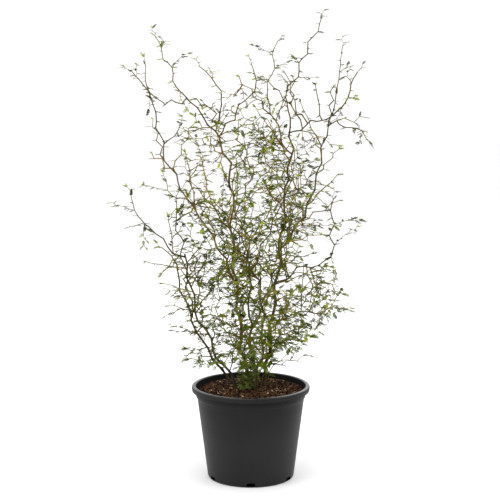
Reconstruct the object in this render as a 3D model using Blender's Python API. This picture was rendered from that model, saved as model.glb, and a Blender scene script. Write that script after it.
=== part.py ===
# Potted prostrate kowhai: a wiry zigzag shrub in a round black nursery pot.
# Metres, +Z up. The origin is the middle of the pot's flat underside. The shrub's
# widest view is from -Y, with +X to the right.

import math
import random

import bmesh
import bpy
import numpy as np
from mathutils import Matrix, Vector
from mathutils.bvhtree import BVHTree

GAP = 0.0003                  # clearance between pieces that meet

# Pot
POT_HEIGHT = 0.220
POT_SIDES = 40
WALL = 0.0022
FOOT_RADIUS = 0.0970          # flat underside
BODY_BASE_RADIUS = 0.1025     # just above the rounded bottom edge
BODY_TOP_RADIUS = 0.1262      # under the collar
COLLAR_RADIUS = 0.1296        # straight band under the lip
COLLAR_HEIGHT = 0.0155
LIP_RADIUS = 0.1394
LIP_HEIGHT = 0.0135
LIP_WIDTH = 0.0100
BOTTOM_ROUNDING = 0.0080      # height of the rounded bottom edge
NOTCH_COUNT = 6
NOTCH_WIDTH = 0.0190
NOTCH_HEIGHT = 0.0090
NOTCH_DEPTH = 0.0110

# Compost
SOIL_EDGE_HEIGHT = 0.2040
SOIL_MOUND = 0.0060           # how much higher the middle is
SOIL_ROUGHNESS = 0.0016
SOIL_RINGS = 3

# Limbs: radii, and the zigzag that every limb and twig follows
STEM_SIDES = 6
BOUGH_SIDES = 5
FLARE = 1.8                   # root flare, times the stem's radius at the cut
FLARE_RISE = 0.012
STEM_STEP = 0.048             # length of one straight run between kinks
BOUGH_STEP = 0.036
STEM_SWING = 0.12             # sideways swing of a kink, in steps
BOUGH_SWING = 0.19
TURN = 0.55                   # most that the plane of the zigzag turns at a kink, in radians

# Foliage
SHOOT_STEP = 0.030
DENSE_STEP = 0.027            # on the masses that carry more twigs and leaves
SHOOT_SWING = 0.22
TWIG_STEP = 0.028
TWIG_SWING = 0.22
TWIG_RADIUS = 0.00095
TWIG_TIP_RADIUS = 0.00055
LEAF_LENGTH = 0.034
LEAF_WIDTH = 0.0130
LEAF_THICKNESS = 0.0008
LEAF_OUTREACH = 0.014         # how far a leaf may stand out past the twigs
DENSE_REACH = 0.065           # masses that reach this far carry more leaves
SPACE_MARGIN = 0.0022         # between the spaces of two masses
LIMB_CLEARANCE = 0.0012       # between a twig or leaf and a limb
PATH_CLEARANCE = 0.0045       # between the centre lines of two limbs, past the first run
TRIES = 30                    # seeds tried for a line that runs clear of the others

# Stems rise from the compost: foot (x, y), tip, bow of the middle, radius at foot and tip.
STEMS = {
    "stem_middle": ((-0.008, -0.008), (-0.047, 0.01, 0.684), (-0.008, 0, 0), 0.0048, 0.0024),
    "stem_right": ((0.03, 0.026), (0.09, 0.04, 0.704), (0, 0, 0), 0.0045, 0.0024),
    "stem_left": ((-0.036, 0.046), (-0.174, 0.06, 0.483), (-0.022, 0, -0.01), 0.0034, 0.0019),
    "stem_far_left": ((-0.034, 0.004), (-0.153, -0.02, 0.534), (-0.022, 0, 0), 0.0034, 0.002),
    "stem_front": ((0.012, -0.038), (0.022, -0.14, 0.5), (0.01, -0.02, 0), 0.0036, 0.0021),
    "stem_back": ((0.004, 0.07), (-0.006, 0.165, 0.52), (0, 0.015, 0), 0.0036, 0.0021),
}

# Boughs grow on a limb: parent, how far along it, tip, bow of the middle, radius at foot and tip.
BOUGHS = {
    "bough_high_left": ("stem_middle", 0.99, (-0.154, 0.05, 0.896), (0.03, 0, 0), 0.0021, 0.0013),
    "bough_upper_left": ("bough_high_left", 0.62, (-0.067, -0.02, 0.899), (0.012, 0, 0), 0.0015, 0.0011),
    "bough_upper_middle": ("bough_high_left", 0.5, (-0.003, -0.04, 0.897), (0, -0.008, 0), 0.0015, 0.0011),
    "bough_far_upper_left": ("bough_high_left", 0.97, (-0.224, 0.16, 0.885), (0, 0, -0.01), 0.0013, 0.001),
    "bough_left": ("stem_middle", 0.52, (-0.163, -0.07, 0.692), (0.006, 0, 0.008), 0.002, 0.0015),
    "bough_left_rise": ("bough_left", 0.98, (-0.221, -0.11, 0.895), (-0.008, 0, 0), 0.0014, 0.0011),
    "bough_high_right": ("stem_right", 0.99, (0.084, 0.03, 0.878), (0.006, 0, 0), 0.0021, 0.0013),
    "bough_right_shoulder": ("bough_high_right", 0.62, (0.193, -0.08, 0.865), (0, 0, 0), 0.0015, 0.0011),
    "bough_top_middle": ("bough_high_right", 0.32, (0.041, 0.07, 0.884), (-0.006, 0, 0), 0.0015, 0.0011),
    "bough_right": ("stem_right", 0.66, (0.156, 0.1, 0.71), (0.012, 0, -0.01), 0.0021, 0.0016),
    "bough_right_rise": ("bough_right", 0.98, (0.203, 0.12, 0.898), (0, 0, 0), 0.0015, 0.0011),
    "bough_far_right": ("bough_right_rise", 0.6, (0.234, 0.03, 0.823), (0, 0, 0.008), 0.0013, 0.001),
    "bough_middle_right": ("stem_right", 0.5, (0.172, -0.03, 0.521), (0, 0, 0.006), 0.0017, 0.0012),
    "bough_low_right": ("stem_right", 0.32, (0.15, 0.03, 0.385), (0, 0, 0.004), 0.0016, 0.0011),
    "bough_back_left": ("stem_left", 0.62, (-0.179, 0.12, 0.612), (0, 0.006, 0), 0.0015, 0.0011),
    "bough_left_arm": ("stem_far_left", 0.98, (-0.232, -0.05, 0.6), (0, 0, -0.006), 0.0016, 0.0011),
    "bough_front_left": ("stem_front", 0.97, (-0.08, -0.19, 0.66), (0, -0.008, 0), 0.0016, 0.0011),
    "bough_front_right": ("stem_front", 0.8, (0.086, -0.19, 0.64), (0.008, -0.006, 0), 0.0016, 0.0011),
    "bough_back_rise": ("stem_back", 0.97, (-0.06, 0.205, 0.69), (0, 0.008, 0), 0.0016, 0.0011),
    "bough_back_right": ("stem_back", 0.8, (0.09, 0.205, 0.66), (0, 0.008, 0), 0.0016, 0.0011),
}

# Foliage masses: limb that each grows on, how far along it (1 is its tip), tip of the main
# shoot, and how far the side twigs reach from that shoot.
MASSES = {
    "foliage_tallest": ("bough_high_right", 1.0, (0.171, 0.02, 1.096), 0.044),
    "foliage_high_right": ("bough_right_shoulder", 1.0, (0.248, -0.11, 0.976), 0.052),
    "foliage_right_top": ("bough_right_rise", 1.0, (0.221, 0.13, 1.037), 0.05),
    "foliage_far_right": ("bough_far_right", 1.0, (0.286, 0, 0.784), 0.055),
    "foliage_top_middle": ("bough_top_middle", 1.0, (0.067, 0.08, 1.048), 0.055),
    "foliage_upper_middle": ("bough_upper_middle", 1.0, (0.006, -0.05, 0.991), 0.055),
    "foliage_upper_left": ("bough_upper_left", 1.0, (-0.131, -0.03, 0.984), 0.055),
    "foliage_high_left": ("bough_high_left", 1.0, (-0.236, 0.08, 1.059), 0.05),
    "foliage_far_upper_left": ("bough_far_upper_left", 1.0, (-0.305, 0.18, 0.97), 0.045),
    "foliage_left_top": ("bough_left_rise", 1.0, (-0.234, -0.13, 0.989), 0.055),
    "foliage_left_fork": ("bough_left", 0.9, (-0.112, -0.1, 0.765), 0.06),
    "foliage_left_side": ("bough_left_rise", 0.5, (-0.14, -0.125, 0.85), 0.06),
    "foliage_left_arm": ("bough_left_arm", 1.0, (-0.284, -0.07, 0.697), 0.055),
    "foliage_back_left_top": ("bough_back_left", 1.0, (-0.212, 0.145, 0.712), 0.065),
    "foliage_outer_left": ("stem_left", 1.0, (-0.222, 0.045, 0.56), 0.065),
    "foliage_low_left": ("stem_left", 0.36, (-0.165, 0.03, 0.3), 0.07),
    "foliage_left_inner": ("stem_far_left", 0.62, (-0.095, -0.075, 0.56), 0.07),
    "foliage_middle_low_left": ("stem_middle", 0.2, (-0.075, -0.075, 0.385), 0.075),
    "foliage_middle_low_right": ("stem_right", 0.16, (0.098, -0.045, 0.345), 0.075),
    "foliage_middle": ("stem_middle", 0.62, (0.014, -0.04, 0.64), 0.075),
    "foliage_middle_high": ("stem_right", 0.93, (0.002, 0, 0.815), 0.075),
    "foliage_right_inner": ("stem_right", 0.86, (0.15, 0.01, 0.73), 0.07),
    "foliage_middle_right": ("bough_middle_right", 1.0, (0.19, -0.062, 0.69), 0.06),
    "foliage_low_right": ("bough_low_right", 1.0, (0.224, 0.02, 0.446), 0.065),
    "foliage_right_back": ("bough_right", 0.4, (0.16, 0.15, 0.57), 0.07),
    "foliage_front_left": ("bough_front_left", 1.0, (-0.115, -0.235, 0.8), 0.07),
    "foliage_front_right": ("bough_front_right", 1.0, (0.115, -0.235, 0.77), 0.07),
    "foliage_front_low": ("stem_front", 0.45, (0.045, -0.195, 0.42), 0.08),
    "foliage_back_rise": ("bough_back_rise", 1.0, (-0.085, 0.24, 0.83), 0.07),
    "foliage_back_right": ("bough_back_right", 1.0, (0.12, 0.24, 0.79), 0.07),
    "foliage_back_low": ("stem_back", 0.42, (0.06, 0.185, 0.43), 0.08),
    "foliage_back_low_left": ("stem_left", 0.5, (-0.085, 0.15, 0.4), 0.075),
}


def clear_objects():
    for obj in list(bpy.data.objects):
        bpy.data.objects.remove(obj, do_unlink=True)


def material(name, color, roughness):
    found = bpy.data.materials.get(name)
    if found:
        return found
    made = bpy.data.materials.new(name)
    made.use_nodes = True
    shader = made.node_tree.nodes["Principled BSDF"]
    shader.inputs["Base Color"].default_value = (*color, 1.0)
    shader.inputs["Roughness"].default_value = roughness
    shader.inputs["Metallic"].default_value = 0.0
    return made


def plastic():
    return material("pot_plastic", (0.030, 0.031, 0.033), 0.45)


def compost():
    return material("compost", (0.050, 0.030, 0.018), 0.95)


def bark():
    return material("bark", (0.150, 0.095, 0.045), 0.75)


def greenery():
    return material("leaf_green", (0.105, 0.130, 0.040), 0.55)


def add_object(name, bm, surface):
    """Closed mesh as an object of its own, faces outward."""
    bmesh.ops.recalc_face_normals(bm, faces=bm.faces)
    mesh = bpy.data.meshes.new(name)
    bm.to_mesh(mesh)
    bm.free()
    mesh.materials.append(surface)
    obj = bpy.data.objects.new(name, mesh)
    bpy.context.scene.collection.objects.link(obj)
    return obj


def shade_round(obj, degrees=40):
    obj.data.shade_smooth()
    obj.data.set_sharp_from_angle(angle=math.radians(degrees))


def arc(centre_r, centre_z, radius_r, radius_z, start, stop, count):
    """Points (r, z) along a quarter of an ellipse, in degrees."""
    points = []
    for index in range(count + 1):
        angle = math.radians(start + (stop - start) * index / count)
        r = centre_r + radius_r * math.cos(angle)
        points.append((r, centre_z + radius_z * math.sin(angle)))
    return points


def lathe(name, profile, sides, surface):
    """Turn a profile of (r, z) points, which starts and ends on the axis, about Z."""
    bm = bmesh.new()
    verts = [bm.verts.new((r, 0.0, z)) for r, z in profile]
    edges = [bm.edges.new(pair) for pair in zip(verts, verts[1:])]
    bmesh.ops.spin(bm, geom=verts + edges, axis=(0, 0, 1), cent=(0, 0, 0),
                   angle=2 * math.pi, steps=sides, use_merge=True)
    bmesh.ops.remove_doubles(bm, verts=bm.verts, dist=0.00001)
    return add_object(name, bm, surface)


def pot():
    collar_foot = POT_HEIGHT - LIP_HEIGHT - COLLAR_HEIGHT
    lip_foot = POT_HEIGHT - LIP_HEIGHT
    profile = [(0.0, 0.0)]
    profile += arc(FOOT_RADIUS, BOTTOM_ROUNDING, BODY_BASE_RADIUS - FOOT_RADIUS, BOTTOM_ROUNDING, -90, 0, 3)
    profile += [(BODY_TOP_RADIUS, collar_foot), (COLLAR_RADIUS - 0.0014, collar_foot + 0.0015)]
    profile += [(COLLAR_RADIUS, lip_foot), (LIP_RADIUS - 0.0030, lip_foot + 0.0008)]
    profile += arc(LIP_RADIUS - 0.0042, POT_HEIGHT - 0.0058, 0.0042, 0.0058, -20, 90, 4)
    profile += [(LIP_RADIUS - LIP_WIDTH + 0.0012, POT_HEIGHT - 0.0007)]
    profile += [(LIP_RADIUS - LIP_WIDTH, POT_HEIGHT - 0.0040)]
    profile += [(COLLAR_RADIUS - WALL, lip_foot), (BODY_TOP_RADIUS - WALL, collar_foot)]
    profile += [(BODY_BASE_RADIUS - WALL, BOTTOM_ROUNDING), (FOOT_RADIUS - WALL, WALL), (0.0, WALL)]
    made = lathe("pot", profile, POT_SIDES, plastic())
    shade_round(made)
    for index in range(NOTCH_COUNT):
        cut_notch(made, -math.pi / 2 + index * 2 * math.pi / NOTCH_COUNT, index)
    return made


def cut_notch(target, angle, index):
    """Drain notch through the bottom edge: a block with its two upper edges rounded."""
    bm = bmesh.new()
    bmesh.ops.create_cube(bm, size=1.0)
    inner = FOOT_RADIUS - NOTCH_DEPTH
    outer = BODY_BASE_RADIUS + NOTCH_DEPTH
    below = 0.004
    bmesh.ops.scale(bm, vec=(outer - inner, NOTCH_WIDTH, NOTCH_HEIGHT + below), verts=bm.verts)
    bmesh.ops.translate(bm, vec=((outer + inner) / 2, 0, (NOTCH_HEIGHT - below) / 2), verts=bm.verts)
    upper = [e for e in bm.edges
             if all(v.co.z > 0 for v in e.verts) and abs(e.verts[0].co.y - e.verts[1].co.y) < 1e-6]
    bmesh.ops.bevel(bm, geom=upper, offset=0.0035, segments=2, affect="EDGES", profile=0.5)
    cutter = add_object("notch_cutter_%d" % index, bm, plastic())
    cutter.rotation_euler = (0, 0, angle)
    cutter.hide_render = True
    cutter.display_type = "WIRE"
    cut = target.modifiers.new("notch_%d" % index, "BOOLEAN")
    cut.operation = "DIFFERENCE"
    cut.solver = "EXACT"
    cut.object = cutter


def soil_height(x, y):
    share = min(1.0, math.hypot(x, y) / COLLAR_RADIUS)
    return SOIL_EDGE_HEIGHT + SOIL_MOUND * (1 - share ** 2)


def soil():
    """Filled pot: compost that follows the inner wall and is a little mounded on top."""
    rng = random.Random(11)
    gap = GAP + 0.0002
    edge = COLLAR_RADIUS - WALL - 2 * gap - 0.0006
    collar_foot = POT_HEIGHT - LIP_HEIGHT - COLLAR_HEIGHT
    profile = [(0.0, WALL + gap), (FOOT_RADIUS - WALL - 2 * gap, WALL + gap)]
    profile += [(BODY_BASE_RADIUS - WALL - 2 * gap, BOTTOM_ROUNDING + gap)]
    profile += [(BODY_TOP_RADIUS - WALL - 2 * gap, collar_foot), (edge, SOIL_EDGE_HEIGHT - 0.001)]
    for ring in range(SOIL_RINGS):
        radius = edge * (1 - (ring + 0.12) / SOIL_RINGS)
        profile.append((radius, soil_height(radius, 0)))
    profile.append((0.0, soil_height(0, 0)))
    made = lathe("soil", profile, POT_SIDES, compost())
    for vert in made.data.vertices:
        radius = math.hypot(vert.co.x, vert.co.y)
        if vert.co.z > SOIL_EDGE_HEIGHT and 0.05 < radius < 0.115:
            vert.co.z += rng.uniform(-SOIL_ROUGHNESS, SOIL_ROUGHNESS)
    shade_round(made, 60)
    return made


def zigzag(start, end, bow, step, swing, first_side, rng):
    """Kinked centre line from start to end: straight runs that swing to alternate sides."""
    run = end - start
    axis = run.normalized()
    count = max(2, round(run.length / step))
    side = first_side - axis * first_side.dot(axis)
    if side.length < 1e-6:
        side = axis.orthogonal()
    side.normalize()
    points = [start.copy()]
    for index in range(1, count):
        share = (index + rng.uniform(-0.15, 0.15)) / count
        reach = swing * step * rng.uniform(0.7, 1.25)
        if index % 2 == 0:
            reach = -reach
        points.append(start.lerp(end, share) + bow * (4 * share * (1 - share)) + side * reach)
        side = Matrix.Rotation(rng.uniform(-TURN, TURN), 3, axis) @ side
    points.append(end.copy())
    return points


def along(path, share):
    """Point and direction at a share of a path's length."""
    lengths = [(b - a).length for a, b in zip(path, path[1:])]
    left = share * sum(lengths)
    for a, b, length in zip(path, path[1:], lengths):
        if left <= length:
            return a.lerp(b, left / length), (b - a).normalized()
        left -= length
    return path[-1].copy(), (path[-1] - path[-2]).normalized()


def taper(path, first, last):
    """Radius at each point of a path, from first to last by the way along it."""
    lengths = [0.0]
    for a, b in zip(path, path[1:]):
        lengths.append(lengths[-1] + (b - a).length)
    return [first + (last - first) * length / lengths[-1] for length in lengths]


def tube(bm, path, radii, sides, level_foot=False):
    """Tapering limb of flat-ended rings along a path."""
    tangents = []
    for index in range(len(path)):
        before = path[max(0, index - 1)]
        after = path[min(len(path) - 1, index + 1)]
        tangents.append((after - before).normalized())
    if level_foot:
        tangents[0] = Vector((0, 0, 1))
    across = tangents[0].orthogonal().normalized()
    rings = []
    for point, tangent, radius in zip(path, tangents, radii):
        across = (across - tangent * across.dot(tangent)).normalized()
        other = tangent.cross(across)
        ring = []
        for side in range(sides):
            angle = 2 * math.pi * side / sides
            ring.append(bm.verts.new(point + radius * (math.cos(angle) * across + math.sin(angle) * other)))
        rings.append(ring)
    for low, high in zip(rings, rings[1:]):
        for side in range(sides):
            after = (side + 1) % sides
            bm.faces.new((low[side], low[after], high[after]))
            bm.faces.new((low[side], high[after], high[side]))
    bm.faces.new(list(reversed(rings[0])))
    bm.faces.new(rings[-1])


def surface_of(obj):
    bm = bmesh.new()
    bm.from_mesh(obj.data)
    tree = BVHTree.FromBMesh(bm)
    bm.free()
    return tree


def seat(tree, centre, direction, radius):
    """Where a flat foot of this radius starts along direction, just clear of the surface."""
    reach = 0.030
    across = direction.orthogonal().normalized()
    furthest = 0.0
    for share in (0.0, 0.5, 1.0):
        for side in range(12):
            offset = Matrix.Rotation(side * math.pi / 6, 3, direction) @ across * (radius * share)
            hit = tree.ray_cast(centre + direction * reach + offset, -direction, reach)
            if hit[0] is not None:
                furthest = max(furthest, (hit[0] - centre).dot(direction))
    return centre + direction * (furthest + GAP)


class Limb:
    """A stem, a bough or the main shoot of a mass: its centre line and its radii."""

    def __init__(self, path, first, last):
        self.path = path
        self.first = first
        self.last = last
        self.obj = None


def grow_from(parent, share, tip, bow, step, swing, radius, rng):
    """Centre line of a limb that leaves its parent at a share of its length, or goes on from its tip."""
    if share >= 1.0:
        way = (parent.path[-1] - parent.path[-2]).normalized()
        start = parent.path[-1] + way * GAP
        joint = start + way * (0.5 * step)
        side = joint - start.lerp(tip, 0.1)
        return [start] + zigzag(joint, tip, bow, step, swing, side, rng)
    start, way = along(parent.path, share)
    outward = tip - start
    outward -= way * outward.dot(way)
    path = zigzag(start, tip, bow, step, swing, outward, rng)
    path[0] = seat(surface_of(parent.obj), start, (path[1] - start).normalized(), radius)
    return path


def limb_object(name, limb, sides, flared=False):
    radii = taper(limb.path, limb.first, limb.last)
    path = list(limb.path)
    if flared:
        way = (path[1] - path[0]).normalized()
        path[1:1] = [path[0] + way * FLARE_RISE, path[0] + way * (2.4 * FLARE_RISE)]
        radii[0:1] = [radii[0] * FLARE, radii[0] * 1.2, radii[0]]
    bm = bmesh.new()
    tube(bm, path, radii, sides, level_foot=flared)
    limb.obj = add_object(name, bm, bark())
    shade_round(limb.obj, 75)


def stems(ground):
    """Stems on the compost: each foot is cut level, just clear of the ground's surface."""
    limbs = {}
    tree = surface_of(ground)
    for number, (name, (foot, tip, bow, first, last)) in enumerate(STEMS.items()):
        rng = random.Random(100 + number)
        below = Vector((foot[0], foot[1], SOIL_EDGE_HEIGHT - SOIL_MOUND))
        start = seat(tree, below, Vector((0, 0, 1)), first * FLARE)
        side = Vector((math.cos(number * 2.4), math.sin(number * 2.4), 0))
        path = zigzag(start, Vector(tip), Vector(bow), STEM_STEP, STEM_SWING, side, rng)
        limbs[name] = Limb(path, first, last)
        limb_object(name, limbs[name], STEM_SIDES, flared=True)
    return limbs


class Lines:
    """Straight runs of many centre lines, for the distance from a point to the nearest of them."""

    def __init__(self, paths, radii):
        starts = [tuple(a) for path in paths for a in path[:-1]]
        ends = [tuple(b) for path in paths for b in path[1:]]
        self.starts = np.array(starts)
        self.runs = np.array(ends) - self.starts
        self.squares = (self.runs ** 2).sum(axis=1)
        self.radii = np.array([r for path, r in zip(paths, radii) for _ in path[1:]])

    def distance(self, point):
        towards = np.array(tuple(point)) - self.starts
        share = np.clip((towards * self.runs).sum(axis=1) / self.squares, 0.0, 1.0)
        apart = towards - self.runs * share[:, None]
        return float((np.sqrt((apart ** 2).sum(axis=1)) - self.radii).min())


def samples(path, spacing=0.004):
    points = []
    for a, b in zip(path, path[1:]):
        count = max(1, round((b - a).length / spacing))
        points += [a.lerp(b, index / count) for index in range(1, count + 1)]
    return points


def runs_clear(path, lines):
    """Whether a centre line stays off the other lines once it has left its parent."""
    first_run = (path[1] - path[0]).length
    later = [p for p in samples(path) if (p - path[0]).length > 0.9 * first_run]
    return all(lines.distance(point) > PATH_CLEARANCE for point in later)


def lines_of(limbs):
    return Lines([limb.path for limb in limbs.values()], [limb.first for limb in limbs.values()])


def grow_clear(limbs, others, seed, *growth):
    """Grow a limb with the first seed that keeps its line clear of the limbs and of the others."""
    known = lines_of({**limbs, **others})
    for attempt in range(TRIES):
        path = grow_from(*growth, random.Random(seed + 1000 * attempt))
        if runs_clear(path, known):
            break
    return path


def boughs(limbs):
    for number, (name, (parent, share, tip, bow, first, last)) in enumerate(BOUGHS.items()):
        growth = (limbs[parent], share, Vector(tip), Vector(bow), BOUGH_STEP, BOUGH_SWING, first)
        path = grow_clear(limbs, {}, 200 + number, *growth)
        limbs[name] = Limb(path, first, last)
        limb_object(name, limbs[name], BOUGH_SIDES)


def is_free(points, own, others, limbs, reach):
    """Whether points keep to the mass's own space and off every limb."""
    for point in points:
        mine = own.distance(point)
        if mine > reach or mine + SPACE_MARGIN > others.distance(point):
            return False
        if limbs.distance(point) < LIMB_CLEARANCE:
            return False
        if point.z < SOIL_EDGE_HEIGHT + SOIL_MOUND + 0.01:
            return False
    return True


def leaf_points(root, way, flat, length):
    """Six corners of a leaf: root, tip, the two sides, upper and under side."""
    across = way.cross(flat).normalized()
    up = across.cross(way).normalized()
    middle = root + way * (0.45 * length)
    width = LEAF_WIDTH * length / LEAF_LENGTH
    half = across * (width / 2)
    thick = up * (LEAF_THICKNESS / 2)
    return [root, root + way * length, middle + half, middle - half, middle + thick, middle - thick]


def leaf(bm, corners):
    root, tip, left, right, upper, under = [bm.verts.new(corner) for corner in corners]
    for end in (root, tip):
        for a, b in ((left, upper), (upper, right), (right, under), (under, left)):
            bm.faces.new((end, a, b))


def side_twigs(shoot, reach, rng):
    """Twigs that leave the shoot on the outer side of its kinks, long below and short above."""
    twigs = []
    count = len(shoot)
    for index in range(1, count - 1):
        share = index / (count - 1)
        along_shoot = (shoot[index + 1] - shoot[index - 1]).normalized()
        outer = shoot[index] - shoot[index - 1].lerp(shoot[index + 1], 0.5)
        if outer.length < 1e-5:
            outer = along_shoot.orthogonal()
        outer = Matrix.Rotation(rng.uniform(-0.9, 0.9), 3, along_shoot) @ outer.normalized()
        way = (outer + along_shoot * rng.uniform(0.25, 0.75)).normalized()
        length = reach * (1.05 - 0.55 * share) * rng.uniform(0.75, 1.1)
        sideways = along_shoot.cross(way) * rng.choice((-1, 1))
        start = shoot[index]
        twigs.append(zigzag(start, start + way * length, Vector(), TWIG_STEP, TWIG_SWING, sideways, rng))
    return twigs


def leaf_at(root, way, rng):
    """Leaf held nearly level, drooping a little, of a seeded length."""
    way = way + Vector((rng.uniform(-0.3, 0.3), rng.uniform(-0.3, 0.3), rng.uniform(-0.35, 0.15)))
    flat = Vector((rng.uniform(-0.5, 0.5), rng.uniform(-0.5, 0.5), 1.0))
    return leaf_points(root, way.normalized(), flat, LEAF_LENGTH * rng.uniform(0.75, 1.1))


def leaves_on(path, dense, rng):
    """A leaf on the outer side of each kink and one at the tip; on dense twigs also one on each run."""
    found = []
    for index in range(1, len(path)):
        run = path[index] - path[index - 1]
        along_twig = run.normalized()
        root = path[index] - along_twig * 0.0004
        if index == len(path) - 1:
            found.append(leaf_at(root, along_twig, rng))
        else:
            out = path[index] - path[index - 1].lerp(path[index + 1], 0.5)
            found.append(leaf_at(root, out.normalized() + along_twig * rng.uniform(0.2, 0.7), rng))
        if dense:
            out = Matrix.Rotation(rng.uniform(0, 2 * math.pi), 3, along_twig) @ along_twig.orthogonal()
            middle = path[index - 1] + run * 0.55
            found.append(leaf_at(middle, out.normalized() + along_twig * rng.uniform(0.2, 0.7), rng))
    return found


def foliage(name, shoot, reach, own, others, limbs, rng):
    """One mass: its shoot, side twigs and leaves, fused into one body."""
    pieces = []
    dense = reach >= DENSE_REACH
    leaf_sets = leaves_on(shoot.path, False, rng)
    for twig in side_twigs(shoot.path, reach, rng):
        kept = [twig[0]]
        for a, b in zip(twig, twig[1:]):
            if not is_free(samples([a, b]), own, others, limbs, reach):
                break
            kept.append(b)
        if len(kept) < 2:
            continue
        bm = bmesh.new()
        tube(bm, kept, taper(kept, TWIG_RADIUS, TWIG_TIP_RADIUS), 3)
        pieces.append(add_object("twig", bm, greenery()))
        leaf_sets += leaves_on(kept, dense, rng)
    for corners in leaf_sets:
        root, tip, left, right = corners[:4]
        outline = samples([root, left, tip]) + samples([root, right, tip]) + samples([root, tip])
        if is_free(outline, own, others, limbs, reach + LEAF_OUTREACH):
            bm = bmesh.new()
            leaf(bm, corners)
            pieces.append(add_object("leaf", bm, greenery()))
    bm = bmesh.new()
    tube(bm, shoot.path, taper(shoot.path, shoot.first, shoot.last), 3)
    made = add_object(name, bm, greenery())
    fuse(made, pieces)
    return made


def fuse(target, pieces):
    """Join pieces to the target by one union, and drop what doesn't touch it."""
    gathered = bpy.data.collections.new("pieces")
    bpy.context.scene.collection.children.link(gathered)
    for piece in pieces:
        bpy.context.scene.collection.objects.unlink(piece)
        gathered.objects.link(piece)
    union = target.modifiers.new("union", "BOOLEAN")
    union.operation = "UNION"
    union.operand_type = "COLLECTION"
    union.collection = gathered
    union.solver = "EXACT"
    view = bpy.context.evaluated_depsgraph_get()
    fused = bpy.data.meshes.new_from_object(target.evaluated_get(view))
    target.modifiers.clear()
    target.data = fused
    for piece in pieces:
        bpy.data.objects.remove(piece, do_unlink=True)
    bpy.data.collections.remove(gathered)
    keep_largest(fused)


def keep_largest(mesh):
    """Leave only the body with the most faces."""
    bm = bmesh.new()
    bm.from_mesh(mesh)
    unseen = set(bm.verts)
    bodies = []
    while unseen:
        body = set()
        front = [unseen.pop()]
        while front:
            vert = front.pop()
            body.add(vert)
            for edge in vert.link_edges:
                other = edge.other_vert(vert)
                if other in unseen:
                    unseen.remove(other)
                    front.append(other)
        bodies.append(body)
    bodies.sort(key=len)
    for body in bodies[:-1]:
        bmesh.ops.delete(bm, geom=list(body), context="VERTS")
    bm.to_mesh(mesh)
    bm.free()


def masses(limbs):
    shoots = {}
    for number, (name, (parent, share, tip, reach)) in enumerate(MASSES.items()):
        step = DENSE_STEP if reach >= DENSE_REACH else SHOOT_STEP
        first = limbs[parent].last if share >= 1.0 else TWIG_RADIUS * 1.3
        foot, _ = along(limbs[parent].path, share)
        wood_tip = Vector(tip) + (foot - Vector(tip)).normalized() * (0.8 * LEAF_LENGTH)
        growth = (limbs[parent], share, wood_tip, Vector(), step, SHOOT_SWING, first)
        path = grow_clear(limbs, shoots, 300 + number, *growth)
        shoots[name] = Limb(path, first, TWIG_TIP_RADIUS)
    all_limbs = lines_of(limbs)
    for number, (name, row) in enumerate(MASSES.items()):
        own = Lines([shoots[name].path], [0.0])
        rest = [shoot.path for other, shoot in shoots.items() if other != name]
        others = Lines(rest, [0.0] * len(rest))
        foliage(name, shoots[name], row[3], own, others, all_limbs, random.Random(400 + number))
    return shoots


def main():
    clear_objects()
    pot()
    limbs = stems(soil())
    boughs(limbs)
    return limbs, masses(limbs)


if __name__ == "__main__":
    main()
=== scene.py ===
import itertools
import math
import random

import bmesh
import bpy
import numpy as np
from mathutils import Matrix, Vector, noise
from mathutils.bvhtree import BVHTree


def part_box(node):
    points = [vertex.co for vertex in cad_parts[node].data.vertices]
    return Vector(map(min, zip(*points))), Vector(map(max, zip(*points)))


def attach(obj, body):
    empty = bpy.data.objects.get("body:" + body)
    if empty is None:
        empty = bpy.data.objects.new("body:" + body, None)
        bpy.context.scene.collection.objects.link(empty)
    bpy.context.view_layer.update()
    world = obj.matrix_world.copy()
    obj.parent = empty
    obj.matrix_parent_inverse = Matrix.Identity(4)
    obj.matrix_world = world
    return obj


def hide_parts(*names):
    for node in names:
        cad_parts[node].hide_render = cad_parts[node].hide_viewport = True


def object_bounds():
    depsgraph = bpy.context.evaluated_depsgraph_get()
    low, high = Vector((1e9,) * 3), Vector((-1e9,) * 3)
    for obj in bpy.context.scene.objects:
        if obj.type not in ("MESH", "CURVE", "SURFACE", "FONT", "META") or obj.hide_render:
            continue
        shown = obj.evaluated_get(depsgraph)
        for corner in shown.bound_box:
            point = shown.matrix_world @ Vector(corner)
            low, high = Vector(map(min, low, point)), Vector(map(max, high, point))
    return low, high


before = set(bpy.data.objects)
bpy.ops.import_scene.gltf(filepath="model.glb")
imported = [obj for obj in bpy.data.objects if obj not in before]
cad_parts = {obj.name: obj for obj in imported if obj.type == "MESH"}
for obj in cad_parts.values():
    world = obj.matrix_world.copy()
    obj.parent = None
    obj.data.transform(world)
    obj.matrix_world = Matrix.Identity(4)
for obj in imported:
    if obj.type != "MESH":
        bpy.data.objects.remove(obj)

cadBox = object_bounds()
print("frame loaded,", len(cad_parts), "nodes")


def linkObject(name, data):
    obj = bpy.data.objects.new(name, data)
    bpy.context.scene.collection.objects.link(obj)
    return obj


# finishes: each piece's look has a noise (scale, detail, stretch), the roughness where it is low and high,
# the shine, and the strength and depth of its relief

def fillSockets(tree, node, sockets):
    # a socket takes a value or the output of another node
    for name, value in sockets.items():
        if isinstance(value, bpy.types.NodeSocket):
            tree.links.new(value, node.inputs[name])
        else:
            node.inputs[name].default_value = value


def addNode(tree, kind, sockets):
    node = tree.nodes.new("ShaderNode" + kind)
    fillSockets(tree, node, sockets)
    return node


def addNoise(tree, scale, detail, stretch=(1.0, 1.0, 1.0)):
    place = addNode(tree, "TexCoord", {}).outputs["Object"]
    mapping = addNode(tree, "Mapping", {"Vector": place, "Scale": stretch})
    sockets = {"Vector": mapping.outputs["Vector"], "Scale": scale, "Detail": detail}
    return addNode(tree, "TexNoise", sockets).outputs["Fac"]


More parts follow.
